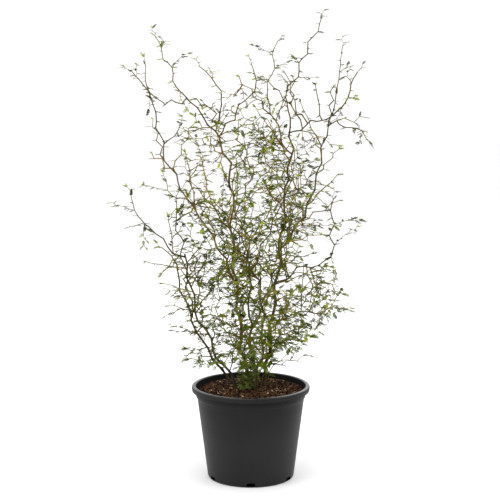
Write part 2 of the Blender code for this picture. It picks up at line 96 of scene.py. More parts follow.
def addRamp(tree, source, stops):
    ramp = addNode(tree, "ValToRGB", {"Fac": source})
    elements = ramp.color_ramp.elements
    elements.remove(elements[1])
    for position, tint in stops:
        elements.new(position).color = (*tint, 1.0)
    elements.remove(elements[0])
    return ramp.outputs["Color"]


def addRange(tree, source, low, high, start=0.0, end=1.0):
    sockets = {"Value": source, "From Min": start, "From Max": end, "To Min": low, "To Max": high}
    return addNode(tree, "MapRange", sockets).outputs["Result"]


def heightOf(tree):
    place = addNode(tree, "TexCoord", {}).outputs["Object"]
    return addNode(tree, "SeparateXYZ", {"Vector": place}).outputs["Z"]


def newFinish(name, look, tint, stops=()):
    # tint is a plain colour, stops are a ramp of colours over the noise
    finish = bpy.data.materials.new(name)
    finish.use_nodes = True
    tree = finish.node_tree
    shader = tree.nodes["Principled BSDF"]
    low, high = look["roughness"]
    plain = {"Base Color": (*tint, 1.0), "Roughness": (low + high) / 2, "Specular IOR Level": look["shine"]}
    fillSockets(tree, shader, plain)
    if "noise" not in look:
        return finish
    cloud = shade = addNoise(tree, *look["noise"])
    if "lowDarkening" in look:             # darker low down: share of the noise, heights
        share, start, end = look["lowDarkening"]
        lowDarkening = addNode(tree, "Math", {0: cloud, 1: addRange(tree, heightOf(tree), share, 1.0, start, end)})
        lowDarkening.operation = "MULTIPLY"
        shade = lowDarkening.outputs["Value"]
    relief = addNoise(tree, *look["grain"]) if "grain" in look else cloud
    strength, depth = look["relief"]
    bump = addNode(tree, "Bump", {"Strength": strength, "Distance": depth, "Height": relief})
    detailed = {"Normal": bump.outputs["Normal"]}
    if stops:
        detailed["Base Color"] = addRamp(tree, shade, stops)
    if low < high:
        detailed["Roughness"] = addRange(tree, cloud, low, high)
    # specular level by height: on the pot's body it drops towards the lip, a painted shadow under the lip
    if "shineByHeightPaintedShade" in look:
        levels = [(height, (level, level, level)) for height, level in look["shineByHeightPaintedShade"]]
        detailed["Specular IOR Level"] = addRamp(tree, heightOf(tree), levels)
    fillSockets(tree, shader, detailed)
    return finish


# camera at the photo's height and angle, pale floor and soft light

studio = {
    "cameraPlace": (-0.0018, -3.10, 0.970),
    "cameraPitch": 7.89,           # degrees down from level
    "lens": 96.85, "sensor": 36.0,
    "floorHalf": 14.0, "floorTint": (0.93, 0.93, 0.93), "floorLook": {"roughness": (0.9, 0.9), "shine": 0.1},
    "skyStrength": 1.08,
    "lights": [                    # name, place, size, watts
        ("soft_left", (-2.6, -1.6, 2.2), (1.8, 2.6), 38.0),
        ("soft_right", (2.8, -1.0, 2.0), (1.6, 2.6), 20.0),
        ("soft_top", (0.2, -0.4, 3.6), (2.6, 2.6), 44.0),
        ("soft_behind", (0.3, 3.0, 2.4), (2.4, 2.0), 18.0),
    ],
    "aim": (0.0, 0.0, 0.60),
}


def makeStudio():
    scene = bpy.context.scene
    scene.view_settings.view_transform = "Standard"
    scene.view_settings.look = "None"
    camera = linkObject("camera", bpy.data.cameras.new("camera"))
    camera.data.lens = studio["lens"]
    camera.data.sensor_width = studio["sensor"]
    camera.location = studio["cameraPlace"]
    camera.rotation_euler = (math.radians(90 - studio["cameraPitch"]), 0.0, 0.0)
    scene.camera = camera
    scene.world = bpy.data.worlds.new("studio_sky")
    scene.world.use_nodes = True
    tree = scene.world.node_tree
    sky = {"Color": (1.0, 1.0, 1.0, 1.0), "Strength": studio["skyStrength"]}
    fillSockets(tree, tree.nodes["Background"], sky)
    for name, place, size, watts in studio["lights"]:
        lamp = bpy.data.lights.new(name, "AREA")
        lamp.shape = "RECTANGLE"
        lamp.size, lamp.size_y = size
        lamp.energy = watts
        holder = linkObject(name, lamp)
        holder.location = place
        towards = Vector(studio["aim"]) - Vector(place)
        holder.rotation_euler = towards.to_track_quat("-Z", "Y").to_euler()
    half = studio["floorHalf"]
    mesh = bpy.data.meshes.new("floor")
    corners = [(-half, -half, 0), (half, -half, 0), (half, half, 0), (-half, half, 0)]
    mesh.from_pydata(corners, [], [(0, 1, 2, 3)])
    mesh.materials.append(newFinish("floor_paint", studio["floorLook"], studio["floorTint"]))
    linkObject("floor", mesh)


makeStudio()
print("studio made")


# pieces built from arrays

class Store:
    # vertices and faces of one kind; every face has the same number of corners
    def __init__(self):
        self.points = []
        self.faces = []
        self.count = 0

    def add(self, points, faces):
        self.points.append(np.asarray(points, float))
        self.faces.append(np.asarray(faces, int) + self.count)
        self.count += len(points)

    def build(self, name, finish, slot, nodes=(), smooth=True):
        points = np.concatenate(self.points)
        faces = np.concatenate(self.faces)
        mesh = bpy.data.meshes.new(name)
        mesh.vertices.add(len(points))
        mesh.vertices.foreach_set("co", points.ravel().astype(np.float32))
        mesh.loops.add(faces.size)
        mesh.loops.foreach_set("vertex_index", faces.ravel().astype(np.int32))
        mesh.polygons.add(len(faces))
        mesh.polygons.foreach_set("loop_start", np.arange(0, faces.size, faces.shape[1], dtype=np.int32))
        mesh.polygons.foreach_set("use_smooth", np.full(len(faces), smooth))
        mesh.update(calc_edges=True)
        mesh.validate()
        mesh.materials.append(finish)
        finishPiece(linkObject(name, mesh), nodes)


def finishPiece(piece, nodes):
    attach(piece, "root")
    if nodes:
        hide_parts(*nodes)
    print(piece.name, len(piece.data.polygons), "faces")


# pot: a turned shell with a rolled lip, a collar, a taper and drain notches

potSpec = {
    "height": 0.220, "wall": 0.0022, "sides": 168, "bodyRows": 14,
    "footRadius": 0.0970, "bodyBaseRadius": 0.1025, "bodyTopRadius": 0.1262, "bottomRounding": 0.0080,
    "collarRadius": 0.1296, "collarHeight": 0.0155,
    "lipRadius": 0.1394, "lipHeight": 0.0135, "lipWidth": 0.0100,
    "notches": 6, "notchWidth": 0.0195, "notchHeight": 0.0112, "notchFoot": 0.0022, "notchDepth": 0.0110,
    "notchRounding": 0.0038, "sharpAngle": 38,
    "tint": (0.008, 0.008, 0.0085),
    "stops": [(0.30, (0.006, 0.006, 0.0065)), (0.70, (0.010, 0.010, 0.0105))],
    "look": {"noise": (9.0, 5.0), "grain": (900.0, 2.0), "relief": (0.25, 0.0002)},
    "parts": {                     # part of the pot, roughness, shine, shine at some heights (on the body lowered towards the lip as a painted shadow under it)
        "body_plastic": {"roughness": (0.40, 0.58), "shine": 0.21,
                         "shineByHeightPaintedShade": [(0.100, 0.21), (0.185, 0.13), (0.201, 0.10), (0.2045, 0.03),
                                          (0.2066, 0.03), (0.2085, 0.15)]},
        # the inside: a duller copy of the same plastic with weaker reflections, painted shade on the inner
        # wall
        "inner_plastic_painted_shade": {"roughness": (0.55, 0.73), "shine": 0.12},
        # the top of the lip: a glossier copy of the same plastic, a painted highlight line along the rim
        "lip_plastic_painted_highlight": {"roughness": (0.15, 0.33), "shine": 0.80},
    },
}
lipFoot = potSpec["height"] - potSpec["lipHeight"]
collarFoot = lipFoot - potSpec["collarHeight"]


def arcPoints(middleR, middleZ, radiusR, radiusZ, start, stop, count):
    points = []
    for index in range(count + 1):
        angle = math.radians(start + (stop - start) * index / count)
        points.append((middleR + radiusR * math.cos(angle), middleZ + radiusZ * math.sin(angle)))
    return points


def potProfile():
    spec = potSpec
    footR, baseR, topR = spec["footRadius"], spec["bodyBaseRadius"], spec["bodyTopRadius"]
    collarR, lipR, wall = spec["collarRadius"], spec["lipRadius"], spec["wall"]
    top, rounding, rows = spec["height"], spec["bottomRounding"], spec["bodyRows"]
    profile = [(0.0, 0.0012), (0.045, 0.0012), (0.048, 0.0), (0.055, 0.0), (0.058, 0.0012),   # underside
               (footR - 0.016, 0.0012), (footR - 0.013, 0.0)]
    profile += arcPoints(footR, rounding, baseR - footR, rounding, -90, 0, 8)
    for share in (row / rows for row in range(1, rows)):
        profile.append((baseR + (topR - baseR) * share, rounding + (collarFoot - rounding) * share))
    profile += [(topR, collarFoot - 0.0010), (topR + 0.0005, collarFoot),                     # collar
                (collarR - 0.0010, collarFoot + 0.0030), (collarR - 0.0002, collarFoot + 0.0048),
                (collarR, lipFoot), (collarR + 0.0006, lipFoot + 0.0009), (lipR - 0.0034, lipFoot + 0.0004)]
    profile += arcPoints(lipR - 0.0024, lipFoot + 0.0024, 0.0016, 0.0020, -90, 0, 4)          # rolled lip
    profile += [(lipR - 0.0010, lipFoot + 0.0052)]
    profile += arcPoints(lipR - 0.0046, top - 0.0052, 0.0046, 0.0052, -15, 90, 9)
    profile += arcPoints(lipR - spec["lipWidth"] + 0.0024, top - 0.0024, 0.0024, 0.0024, 90, 180, 5)
    profile += [(collarR - wall, lipFoot), (topR - wall, collarFoot), (baseR - wall, rounding)]    # inside
    return profile + [(footR - wall, wall), (0.0, wall)]


def bmeshObject(name, bm):
    bmesh.ops.recalc_face_normals(bm, faces=bm.faces)
    mesh = bpy.data.meshes.new(name)
    bm.to_mesh(mesh)
    bm.free()
    return linkObject(name, mesh)


def makeNotch(number):
    spec = potSpec
    inner = spec["footRadius"] - spec["notchDepth"]
    outer = spec["bodyBaseRadius"] + spec["notchDepth"]
    low, high = spec["notchFoot"], spec["notchHeight"]
    bm = bmesh.new()
    bmesh.ops.create_cube(bm, size=1.0)
    bmesh.ops.scale(bm, vec=(outer - inner, spec["notchWidth"], high - low), verts=bm.verts)
    bmesh.ops.translate(bm, vec=((outer + inner) / 2, 0, (high + low) / 2), verts=bm.verts)
    upper = [edge for edge in bm.edges
             if all(v.co.z > low + 0.001 for v in edge.verts)
             and abs(edge.verts[0].co.y - edge.verts[1].co.y) < 1e-6]
    bmesh.ops.bevel(bm, geom=upper, offset=spec["notchRounding"], segments=6, affect="EDGES", profile=0.5)
    cutter = bmeshObject("notch", bm)
    cutter.rotation_euler = (0, 0, -math.pi / 2 + number * 2 * math.pi / spec["notches"])
    return cutter


def makePot():
    spec = potSpec
    bm = bmesh.new()
    ring = [bm.verts.new((r, 0.0, z)) for r, z in potProfile()]
    line = [bm.edges.new(pair) for pair in zip(ring, ring[1:])]
    bmesh.ops.spin(bm, geom=ring + line, axis=(0, 0, 1), cent=(0, 0, 0),
                   angle=2 * math.pi, steps=spec["sides"], use_merge=True)
    bmesh.ops.remove_doubles(bm, verts=bm.verts, dist=0.00001)
    pot = bmeshObject("nursery_pot", bm)
    cutters = [makeNotch(number) for number in range(spec["notches"])]
    for cutter in cutters:
        cut = pot.modifiers.new("notch", "BOOLEAN")
        cut.operation = "DIFFERENCE"
        cut.object = cutter
    view = bpy.context.evaluated_depsgraph_get()
    pot.data = bpy.data.meshes.new_from_object(pot.evaluated_get(view))
    pot.modifiers.clear()
    for cutter in cutters:
        bpy.data.objects.remove(cutter, do_unlink=True)
    pot.data.shade_smooth()
    pot.data.set_sharp_from_angle(angle=math.radians(spec["sharpAngle"]))
    pot.data.materials.clear()
    for name, look in spec["parts"].items():
        pot.data.materials.append(newFinish(name, {**spec["look"], **look}, spec["tint"], spec["stops"]))
    for face in pot.data.polygons:     # body, inside with painted shade, or the top of the lip with a painted highlight
        middle, normal = face.center, face.normal
        inward = normal.x * middle.x + normal.y * middle.y < 0 and middle.z < spec["height"] - 0.0012
        isInside = math.hypot(middle.x, middle.y) < spec["lipRadius"] - 0.006 and (inward or normal.z > 0.5)
        # faces on the top of the lip take the glossier plastic for the painted highlight
        onTop = middle.z > spec["height"] - 0.0020 and normal.z > 0.45
        face.material_index = 2 if onTop else int(isInside)
    finishPiece(pot, ["pot"])


makePot()


# compost: a mounded, crumbly surface with bark chips and sticks

compostSpec = {
    "edgeHeight": 0.2065, "mound": 0.0070, "roughness": 0.0026,
    "lumps": ((42, 3.1, 1.0), (110, 7.7, 0.6)),    # how fine, place in the noise, strength
    "rings": 46, "sides": 150, "gap": 0.0006,      # gap to the pot's wall
    "hollow": (0.030, 0.080),      # height and foot radius of the dark space behind the notches
    "chips": 7400, "sticks": 260, "seed": 21, "chipEdge": 0.004,
    "chipSizes": (0.0012, 0.0016, 0.0022, 0.0034), "chipShape": ((1.4, 3.4), (0.7, 1.1), (0.25, 0.6)),
    "chipWobble": (0.62, 1.15), "chipTilt": 0.5, "chipRoll": 0.4, "chipLift": 0.35,
    "stickLength": (0.010, 0.026), "stickSection": (0.0011, 0.0010), "stickTilt": 0.15,
    "look": {"roughness": (0.92, 0.92), "shine": 0.12, "relief": (0.8, 0.0012)},
    "bedNoise": (260.0, 6.0), "chipNoise": (420.0, 6.0), "ramp": (0.35, 0.68), "paler": 1.7,
    "bed": ((0.006, 0.004, 0.003), (0.040, 0.023, 0.012)),
    "tints": {                     # piece, base colour, share of the chips
        "chips_dark": ((0.007, 0.004, 0.002), 0.47),
        "chips_rust": ((0.086, 0.037, 0.015), 0.36),
        "chips_brown": ((0.130, 0.072, 0.036), 0.13),
        "chips_pale": ((0.400, 0.290, 0.190), 0.04),
    },
}


def compostFinish(name, noiseKey, dark, light):
    spec = compostSpec
    look = {**spec["look"], "noise": spec[noiseKey]}
    return newFinish(name, look, dark, list(zip(spec["ramp"], (dark, light))))


def compostHeight(x, y):
    spec = compostSpec
    share = min(1.0, math.hypot(x, y) / potSpec["collarRadius"])
    base = spec["edgeHeight"] + spec["mound"] * (1 - share ** 2)
    lumps = sum(strength * noise.noise(Vector((x * fine, y * fine, place)))
                for fine, place, strength in spec["lumps"])
    return base + spec["roughness"] * lumps


def makeCompost():
    spec, sides = compostSpec, compostSpec["sides"]
    wall = potSpec["wall"] + spec["gap"]
    edge = potSpec["collarRadius"] - wall - spec["gap"]
    rows = [(edge * (row + 1) / spec["rings"], None) for row in range(spec["rings"])]
    rows += [(potSpec["bodyTopRadius"] - wall, collarFoot),
             (potSpec["bodyBaseRadius"] - wall, spec["hollow"][0]), (spec["hollow"][1], wall)]
    points = [(0.0, 0.0, compostHeight(0, 0))]
    for radius, height in rows:
        for side in range(sides):
            angle = 2 * math.pi * side / sides
            x, y = radius * math.cos(angle), radius * math.sin(angle)
            points.append((x, y, compostHeight(x, y) if height is None else height))
    points.append((0.0, 0.0, wall))
    faces = []
    last = 1 + (len(rows) - 1) * sides
    for side in range(sides):
        after = (side + 1) % sides
        faces.append((0, 1 + side, 1 + after))
        for low in range(1, last, sides):
            high = low + sides
            faces += [(low + side, high + side, high + after), (low + side, high + after, low + after)]
        faces.append((last + side, len(points) - 1, last + after))
    store = Store()
    store.add(points, faces)
    finish = compostFinish("compost_crumbs", "bedNoise", *spec["bed"])
    store.build("compost_bed", finish, "compost", ["soil"], smooth=False)


chipCorners = np.array([(x, y, z) for z in (-0.5, 0.5) for y in (-0.5, 0.5) for x in (-0.5, 0.5)])
chipFaces = np.array([(0, 2, 3, 1), (4, 5, 7, 6), (0, 1, 5, 4), (1, 3, 7, 5), (3, 2, 6, 7), (2, 0, 4, 6)])


def makeChips():
    spec = compostSpec
    rng = random.Random(spec["seed"])
    stores = {name: Store() for name in spec["tints"]}
    shares = [share for tint, share in spec["tints"].values()]
    edge = potSpec["collarRadius"] - potSpec["wall"] - spec["chipEdge"]
    for number in range(spec["chips"] + spec["sticks"]):
        radius = edge * math.sqrt(rng.random())
        angle = rng.uniform(0, 2 * math.pi)
        x, y = radius * math.cos(angle), radius * math.sin(angle)
        if number < spec["chips"]:
            size = rng.choice(spec["chipSizes"])
            shape = np.array([size * rng.uniform(*span) for span in spec["chipShape"]])
            tilt = rng.uniform(-spec["chipTilt"], spec["chipTilt"])
        else:
            shape = np.array([rng.uniform(*spec["stickLength"]), *spec["stickSection"]])
            tilt = rng.uniform(-spec["stickTilt"], spec["stickTilt"])
        turn = Matrix.Rotation(rng.uniform(0, 2 * math.pi), 3, "Z") @ Matrix.Rotation(tilt, 3, "Y")
        turn = turn @ Matrix.Rotation(rng.uniform(-spec["chipRoll"], spec["chipRoll"]), 3, "X")
        wobble = np.array([[rng.uniform(*spec["chipWobble"]) for _ in range(3)] for _ in range(8)])
        points = (chipCorners * wobble * shape) @ np.array(turn).T
        if math.hypot(x, y) + shape[0] * 0.6 > edge:
            continue
        points += (x, y, compostHeight(x, y) + shape[2] * spec["chipLift"])
        stores[rng.choices(list(stores), shares)[0]].add(points, chipFaces)
    for name, (tint, share) in spec["tints"].items():
        light = tuple(min(1.0, spec["paler"] * channel) for channel in tint)
        stores[name].build(name, compostFinish(name, "chipNoise", tint, light), "compost", smooth=False)


makeCompost()
makeChips()


# limbs: the same plan and the same zigzag rule as the solids

limbGrowth = {
    "stem": (0.048, 0.12), "bough": (0.036, 0.19),             # step and swing of the zigzag
    "shoot": (0.030, 0.22), "denseShoot": (0.027, 0.22),
    "stepJitter": 0.15, "reachJitter": (0.7, 1.25), "turn": 0.55, "stemTurn": 2.4, "gap": 0.0003,
    "endJoint": 0.5, "endSide": 0.1,           # first joint past a limb's end, in steps, and its side
    "nodeMargin": 0.001,
    "flare": 1.8, "stemFoot": 0.012,           # how much wider a stem's foot is, how deep it stands
    "denseReach": 0.065, "shootFoot": 0.00124, "twigTip": 0.00055, "leafStandIn": 0.0272,
    "pathClearance": 0.0045, "clearAfter": 0.9, "tries": 30, "sample": 0.004,
    "seatReach": 0.030, "seatShares": (0.0, 0.5, 1.0), "seatSides": 12,
    "seeds": {"stem": 100, "bough": 200, "shoot": 300, "bark": 400, "twig": 400, "mass": 500,
              "arm": 700, "fine": 800, "sprout": 900},
}

# foot (x, y), tip, bow of the middle, radius at foot and tip
stemPlan = {
    "stem_middle": ((-0.008, -0.008), (-0.047, 0.01, 0.684), (-0.008, 0, 0), 0.0048, 0.0024),
    "stem_right": ((0.03, 0.026), (0.09, 0.04, 0.704), (0, 0, 0), 0.0045, 0.0024),
    "stem_left": ((-0.036, 0.046), (-0.174, 0.06, 0.483), (-0.022, 0, -0.01), 0.0034, 0.0019),
    "stem_far_left": ((-0.034, 0.004), (-0.153, -0.02, 0.534), (-0.022, 0, 0), 0.0034, 0.002),
    "stem_front": ((0.012, -0.038), (0.022, -0.14, 0.5), (0.01, -0.02, 0), 0.0036, 0.0021),
    "stem_back": ((0.004, 0.07), (-0.006, 0.165, 0.52), (0, 0.015, 0), 0.0036, 0.0021),
}

# parent, how far along it, tip, bow of the middle, radius at foot and tip
boughPlan = {
    "bough_high_left": ("stem_middle", 0.99, (-0.154, 0.05, 0.896), (0.03, 0, 0), 0.0021, 0.0013),
    "bough_upper_left": ("bough_high_left", 0.62, (-0.067, -0.02, 0.899), (0.012, 0, 0), 0.0015, 0.0011),
    "bough_upper_middle": ("bough_high_left", 0.5, (-0.003, -0.04, 0.897), (0, -0.008, 0), 0.0015, 0.0011),
    "bough_far_upper_left": ("bough_high_left", 0.97, (-0.224, 0.16, 0.885), (0, 0, -0.01), 0.0013, 0.001),
    "bough_left": ("stem_middle", 0.52, (-0.163, -0.07, 0.692), (0.006, 0, 0.008), 0.002, 0.0015),
    "bough_left_rise": ("bough_left", 0.98, (-0.221, -0.11, 0.895), (-0.008, 0, 0), 0.0014, 0.0011),
    "bough_high_right": ("stem_right", 0.99, (0.084, 0.03, 0.878), (0.006, 0, 0), 0.0021, 0.0013),
    "bough_right_shoulder": ("bough_high_right", 0.62, (0.193, -0.08, 0.865), (0, 0, 0), 0.0015, 0.0011),
    "bough_top_middle": ("bough_high_right", 0.32, (0.041, 0.07, 0.884), (-0.006, 0, 0), 0.0015, 0.0011),
    "bough_right": ("stem_right", 0.66, (0.156, 0.1, 0.71), (0.012, 0, -0.01), 0.0021, 0.0016),
    "bough_right_rise": ("bough_right", 0.98, (0.203, 0.12, 0.898), (0, 0, 0), 0.0015, 0.0011),
    "bough_far_right": ("bough_right_rise", 0.6, (0.234, 0.03, 0.823), (0, 0, 0.008), 0.0013, 0.001),
    "bough_middle_right": ("stem_right", 0.5, (0.172, -0.03, 0.521), (0, 0, 0.006), 0.0017, 0.0012),
    "bough_low_right": ("stem_right", 0.32, (0.15, 0.03, 0.385), (0, 0, 0.004), 0.0016, 0.0011),
    "bough_back_left": ("stem_left", 0.62, (-0.179, 0.12, 0.612), (0, 0.006, 0), 0.0015, 0.0011),
    "bough_left_arm": ("stem_far_left", 0.98, (-0.232, -0.05, 0.6), (0, 0, -0.006), 0.0016, 0.0011),
    "bough_front_left": ("stem_front", 0.97, (-0.08, -0.19, 0.66), (0, -0.008, 0), 0.0016, 0.0011),
    "bough_front_right": ("stem_front", 0.8, (0.086, -0.19, 0.64), (0.008, -0.006, 0), 0.0016, 0.0011),
    "bough_back_rise": ("stem_back", 0.97, (-0.06, 0.205, 0.69), (0, 0.008, 0), 0.0016, 0.0011),
    "bough_back_right": ("stem_back", 0.8, (0.09, 0.205, 0.66), (0, 0.008, 0), 0.0016, 0.0011),
}

# limb it grows on, how far along it, tip of its main shoot, reach of its side twigs
massPlan = {
    "foliage_tallest": ("bough_high_right", 1.0, (0.171, 0.02, 1.096), 0.044),
    "foliage_high_right": ("bough_right_shoulder", 1.0, (0.248, -0.11, 0.976), 0.052),
    "foliage_right_top": ("bough_right_rise", 1.0, (0.221, 0.13, 1.037), 0.05),
    "foliage_far_right": ("bough_far_right", 1.0, (0.286, 0, 0.784), 0.055),
    "foliage_top_middle": ("bough_top_middle", 1.0, (0.067, 0.08, 1.048), 0.055),
    "foliage_upper_middle": ("bough_upper_middle", 1.0, (0.006, -0.05, 0.991), 0.055),
    "foliage_upper_left": ("bough_upper_left", 1.0, (-0.131, -0.03, 0.984), 0.055),
    "foliage_high_left": ("bough_high_left", 1.0, (-0.236, 0.08, 1.059), 0.05),
    "foliage_far_upper_left": ("bough_far_upper_left", 1.0, (-0.305, 0.18, 0.97), 0.045),
    "foliage_left_top": ("bough_left_rise", 1.0, (-0.234, -0.13, 0.989), 0.055),
    "foliage_left_fork": ("bough_left", 0.9, (-0.112, -0.1, 0.765), 0.06),
    "foliage_left_side": ("bough_left_rise", 0.5, (-0.14, -0.125, 0.85), 0.06),
    "foliage_left_arm": ("bough_left_arm", 1.0, (-0.284, -0.07, 0.697), 0.055),
    "foliage_back_left_top": ("bough_back_left", 1.0, (-0.212, 0.145, 0.712), 0.065),
    "foliage_outer_left": ("stem_left", 1.0, (-0.222, 0.045, 0.56), 0.065),
    "foliage_low_left": ("stem_left", 0.36, (-0.165, 0.03, 0.3), 0.07),
    "foliage_left_inner": ("stem_far_left", 0.62, (-0.095, -0.075, 0.56), 0.07),
    "foliage_middle_low_left": ("stem_middle", 0.2, (-0.075, -0.075, 0.385), 0.075),
    "foliage_middle_low_right": ("stem_right", 0.16, (0.098, -0.045, 0.345), 0.075),
    "foliage_middle": ("stem_middle", 0.62, (0.014, -0.04, 0.64), 0.075),
    "foliage_middle_high": ("stem_right", 0.93, (0.002, 0, 0.815), 0.075),
    "foliage_right_inner": ("stem_right", 0.86, (0.15, 0.01, 0.73), 0.07),
    "foliage_middle_right": ("bough_middle_right", 1.0, (0.19, -0.062, 0.69), 0.06),
    "foliage_low_right": ("bough_low_right", 1.0, (0.224, 0.02, 0.446), 0.065),
    "foliage_right_back": ("bough_right", 0.4, (0.16, 0.15, 0.57), 0.07),
    "foliage_front_left": ("bough_front_left", 1.0, (-0.115, -0.235, 0.8), 0.07),
    "foliage_front_right": ("bough_front_right", 1.0, (0.115, -0.235, 0.77), 0.07),
    "foliage_front_low": ("stem_front", 0.45, (0.045, -0.195, 0.42), 0.08),
    "foliage_back_rise": ("bough_back_rise", 1.0, (-0.085, 0.24, 0.83), 0.07),
    "foliage_back_right": ("bough_back_right", 1.0, (0.12, 0.24, 0.79), 0.07),
    "foliage_back_low": ("stem_back", 0.42, (0.06, 0.185, 0.43), 0.08),
    "foliage_back_low_left": ("stem_left", 0.5, (-0.085, 0.15, 0.4), 0.075),
}

def turned(way, angle, axis):
    return Matrix.Rotation(angle, 3, axis) @ way


def runLengths(path):
    return [(b - a).length for a, b in zip(path, path[1:])]


def zigzag(start, end, steps, side, rng, bow=Vector()):
    grow = limbGrowth
    step, swing = steps
    run = end - start
    axis = run.normalized()
    count = max(2, round(run.length / step))
    side = side - axis * side.dot(axis)
    if side.length < 1e-6:
        side = axis.orthogonal()
    side.normalize()
    points = [start.copy()]
    for index in range(1, count):
        share = (index + rng.uniform(-grow["stepJitter"], grow["stepJitter"])) / count
        reach = swing * step * rng.uniform(*grow["reachJitter"]) * (1 if index % 2 else -1)
        points.append(start.lerp(end, share) + bow * (4 * share * (1 - share)) + side * reach)
        side = turned(side, rng.uniform(-grow["turn"], grow["turn"]), axis)
    return points + [end.copy()]


def alongPath(path, share):
    left = share * sum(runLengths(path))
    for a, b, length in zip(path, path[1:], runLengths(path)):
        if left <= length:
            return a.lerp(b, left / length), (b - a).normalized()
        left -= length
    return path[-1].copy(), (path[-1] - path[-2]).normalized()


def samplePath(path, spacing=limbGrowth["sample"]):
    points = []
    for a, b in zip(path, path[1:]):
        count = max(1, round((b - a).length / spacing))
        points += [a.lerp(b, index / count) for index in range(1, count + 1)]
    return points


def nodeTree(node):
    bm = bmesh.new()
    bm.from_mesh(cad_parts[node].data)
    tree = BVHTree.FromBMesh(bm)
    bm.free()
    return tree


def seatPoint(node, centre, direction, radius):
    # where a line stands just off the surface of the node that carries it
    tree, reach, sides = nodeTree(node), limbGrowth["seatReach"], limbGrowth["seatSides"]
    across = direction.orthogonal().normalized()
    furthest = 0.0
    for share, side in itertools.product(limbGrowth["seatShares"], range(sides)):
        offset = turned(across, side * 2 * math.pi / sides, direction) * (radius * share)
        hit = tree.ray_cast(centre + direction * reach + offset, -direction, reach)[0]
        if hit is not None:
            furthest = max(furthest, (hit - centre).dot(direction))
    return centre + direction * (furthest + limbGrowth["gap"])


class Limb:
    def __init__(self, name, path, first, last, foot):
        self.name = name
        self.path = path
        self.first = first     # radius at the foot
        self.last = last
        self.foot = foot       # point inside the parent, where the dressed limb starts
        self.bark = path       # the path with smaller kinks
        self.rises = []        # rising twigs on it, each with its tint
        self.tint = None


class Lines:
    # straight runs of many centre lines, for the distance from a point to the nearest of them
    def __init__(self, paths, radii=None):
        self.starts = np.array([tuple(a) for path in paths for a in path[:-1]])
        self.runs = np.array([tuple(b) for path in paths for b in path[1:]]) - self.starts
        self.squares = (self.runs ** 2).sum(axis=1)
        radii = radii or [0.0] * len(paths)
        self.radii = np.array([r for path, r in zip(paths, radii) for _ in path[1:]])

    def distance(self, point):
        towards = np.array(tuple(point)) - self.starts
        share = np.clip((towards * self.runs).sum(axis=1) / self.squares, 0.0, 1.0)
        apart = towards - self.runs * share[:, None]
        return float((np.sqrt((apart ** 2).sum(axis=1)) - self.radii).min())


def linesOf(limbs):
    return Lines([limb.path for limb in limbs], [limb.first for limb in limbs])


def growFrom(parent, share, tip, bow, steps, radius, rng):
    if share >= 1.0:
        way = (parent.path[-1] - parent.path[-2]).normalized()
        start = parent.path[-1] + way * limbGrowth["gap"]
        joint = start + way * (limbGrowth["endJoint"] * steps[0])
        side = joint - start.lerp(tip, limbGrowth["endSide"])
        return [start] + zigzag(joint, tip, steps, side, rng, bow), parent.path[-1].copy()
    start, way = alongPath(parent.path, share)
    outward = tip - start
    outward -= way * outward.dot(way)
    path = zigzag(start, tip, steps, outward, rng, bow)
    path[0] = seatPoint(parent.name, start, (path[1] - start).normalized(), radius)
    return path, start


def growClear(known, seed, *plan):
    # tries seeds until the line keeps clear of the lines already there
    for attempt in range(limbGrowth["tries"]):
        path, foot = growFrom(*plan, random.Random(seed + 1000 * attempt))
        skip = limbGrowth["clearAfter"] * (path[1] - path[0]).length
        later = [point for point in samplePath(path) if (point - path[0]).length > skip]
        if all(known.distance(point) > limbGrowth["pathClearance"] for point in later):
            break
    return path, foot


def growLimbs():
    grow, seeds = limbGrowth, limbGrowth["seeds"]
    limbs, shoots = {}, {}
    for number, (name, (foot, tip, bow, first, last)) in enumerate(stemPlan.items()):
        side = Vector((math.cos(number * grow["stemTurn"]), math.sin(number * grow["stemTurn"]), 0))
        below = Vector((*foot, compostSpec["edgeHeight"] - compostSpec["mound"]))
        start = seatPoint("soil", below, Vector((0, 0, 1)), first * grow["flare"])
        rng = random.Random(seeds["stem"] + number)
        path = zigzag(start, Vector(tip), grow["stem"], side, rng, Vector(bow))
        foot = start - (path[1] - start).normalized() * grow["stemFoot"]
        limbs[name] = Limb(name, path, first, last, foot)
    for number, (name, (parent, share, tip, bow, first, last)) in enumerate(boughPlan.items()):
        known = linesOf(limbs.values())
        path, foot = growClear(known, seeds["bough"] + number, limbs[parent], share, Vector(tip), Vector(bow),
                               grow["bough"], first)
        limbs[name] = Limb(name, path, first, last, foot)
    for number, (name, (parent, share, tip, reach)) in enumerate(massPlan.items()):
        known = linesOf([*limbs.values(), *shoots.values()])
        steps = grow["denseShoot" if reach >= grow["denseReach"] else "shoot"]
        parent, tip = limbs[parent], Vector(tip)
        first = parent.last if share >= 1.0 else grow["shootFoot"]
        tip += (alongPath(parent.path, share)[0] - tip).normalized() * grow["leafStandIn"]
        path, foot = growClear(known, seeds["shoot"] + number, parent, share, tip, Vector(), steps, first)
        shoots[name] = Limb(name, path, first, grow["twigTip"], foot)
    return limbs, shoots


limbs, shoots = growLimbs()
for name, limb in {**limbs, **shoots}.items():   # each line has to run inside its own node
    low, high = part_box(name)
    margin = limbGrowth["nodeMargin"]
    if any(not low[axis] - margin <= point[axis] <= high[axis] + margin
           for point in limb.path for axis in range(3)):
        print("line leaves its node", name)
print("limbs grown,", len(limbs), "limbs and", len(shoots), "shoots")


# bark: stems and boughs as ringed tubes with relief, swollen at the kinks

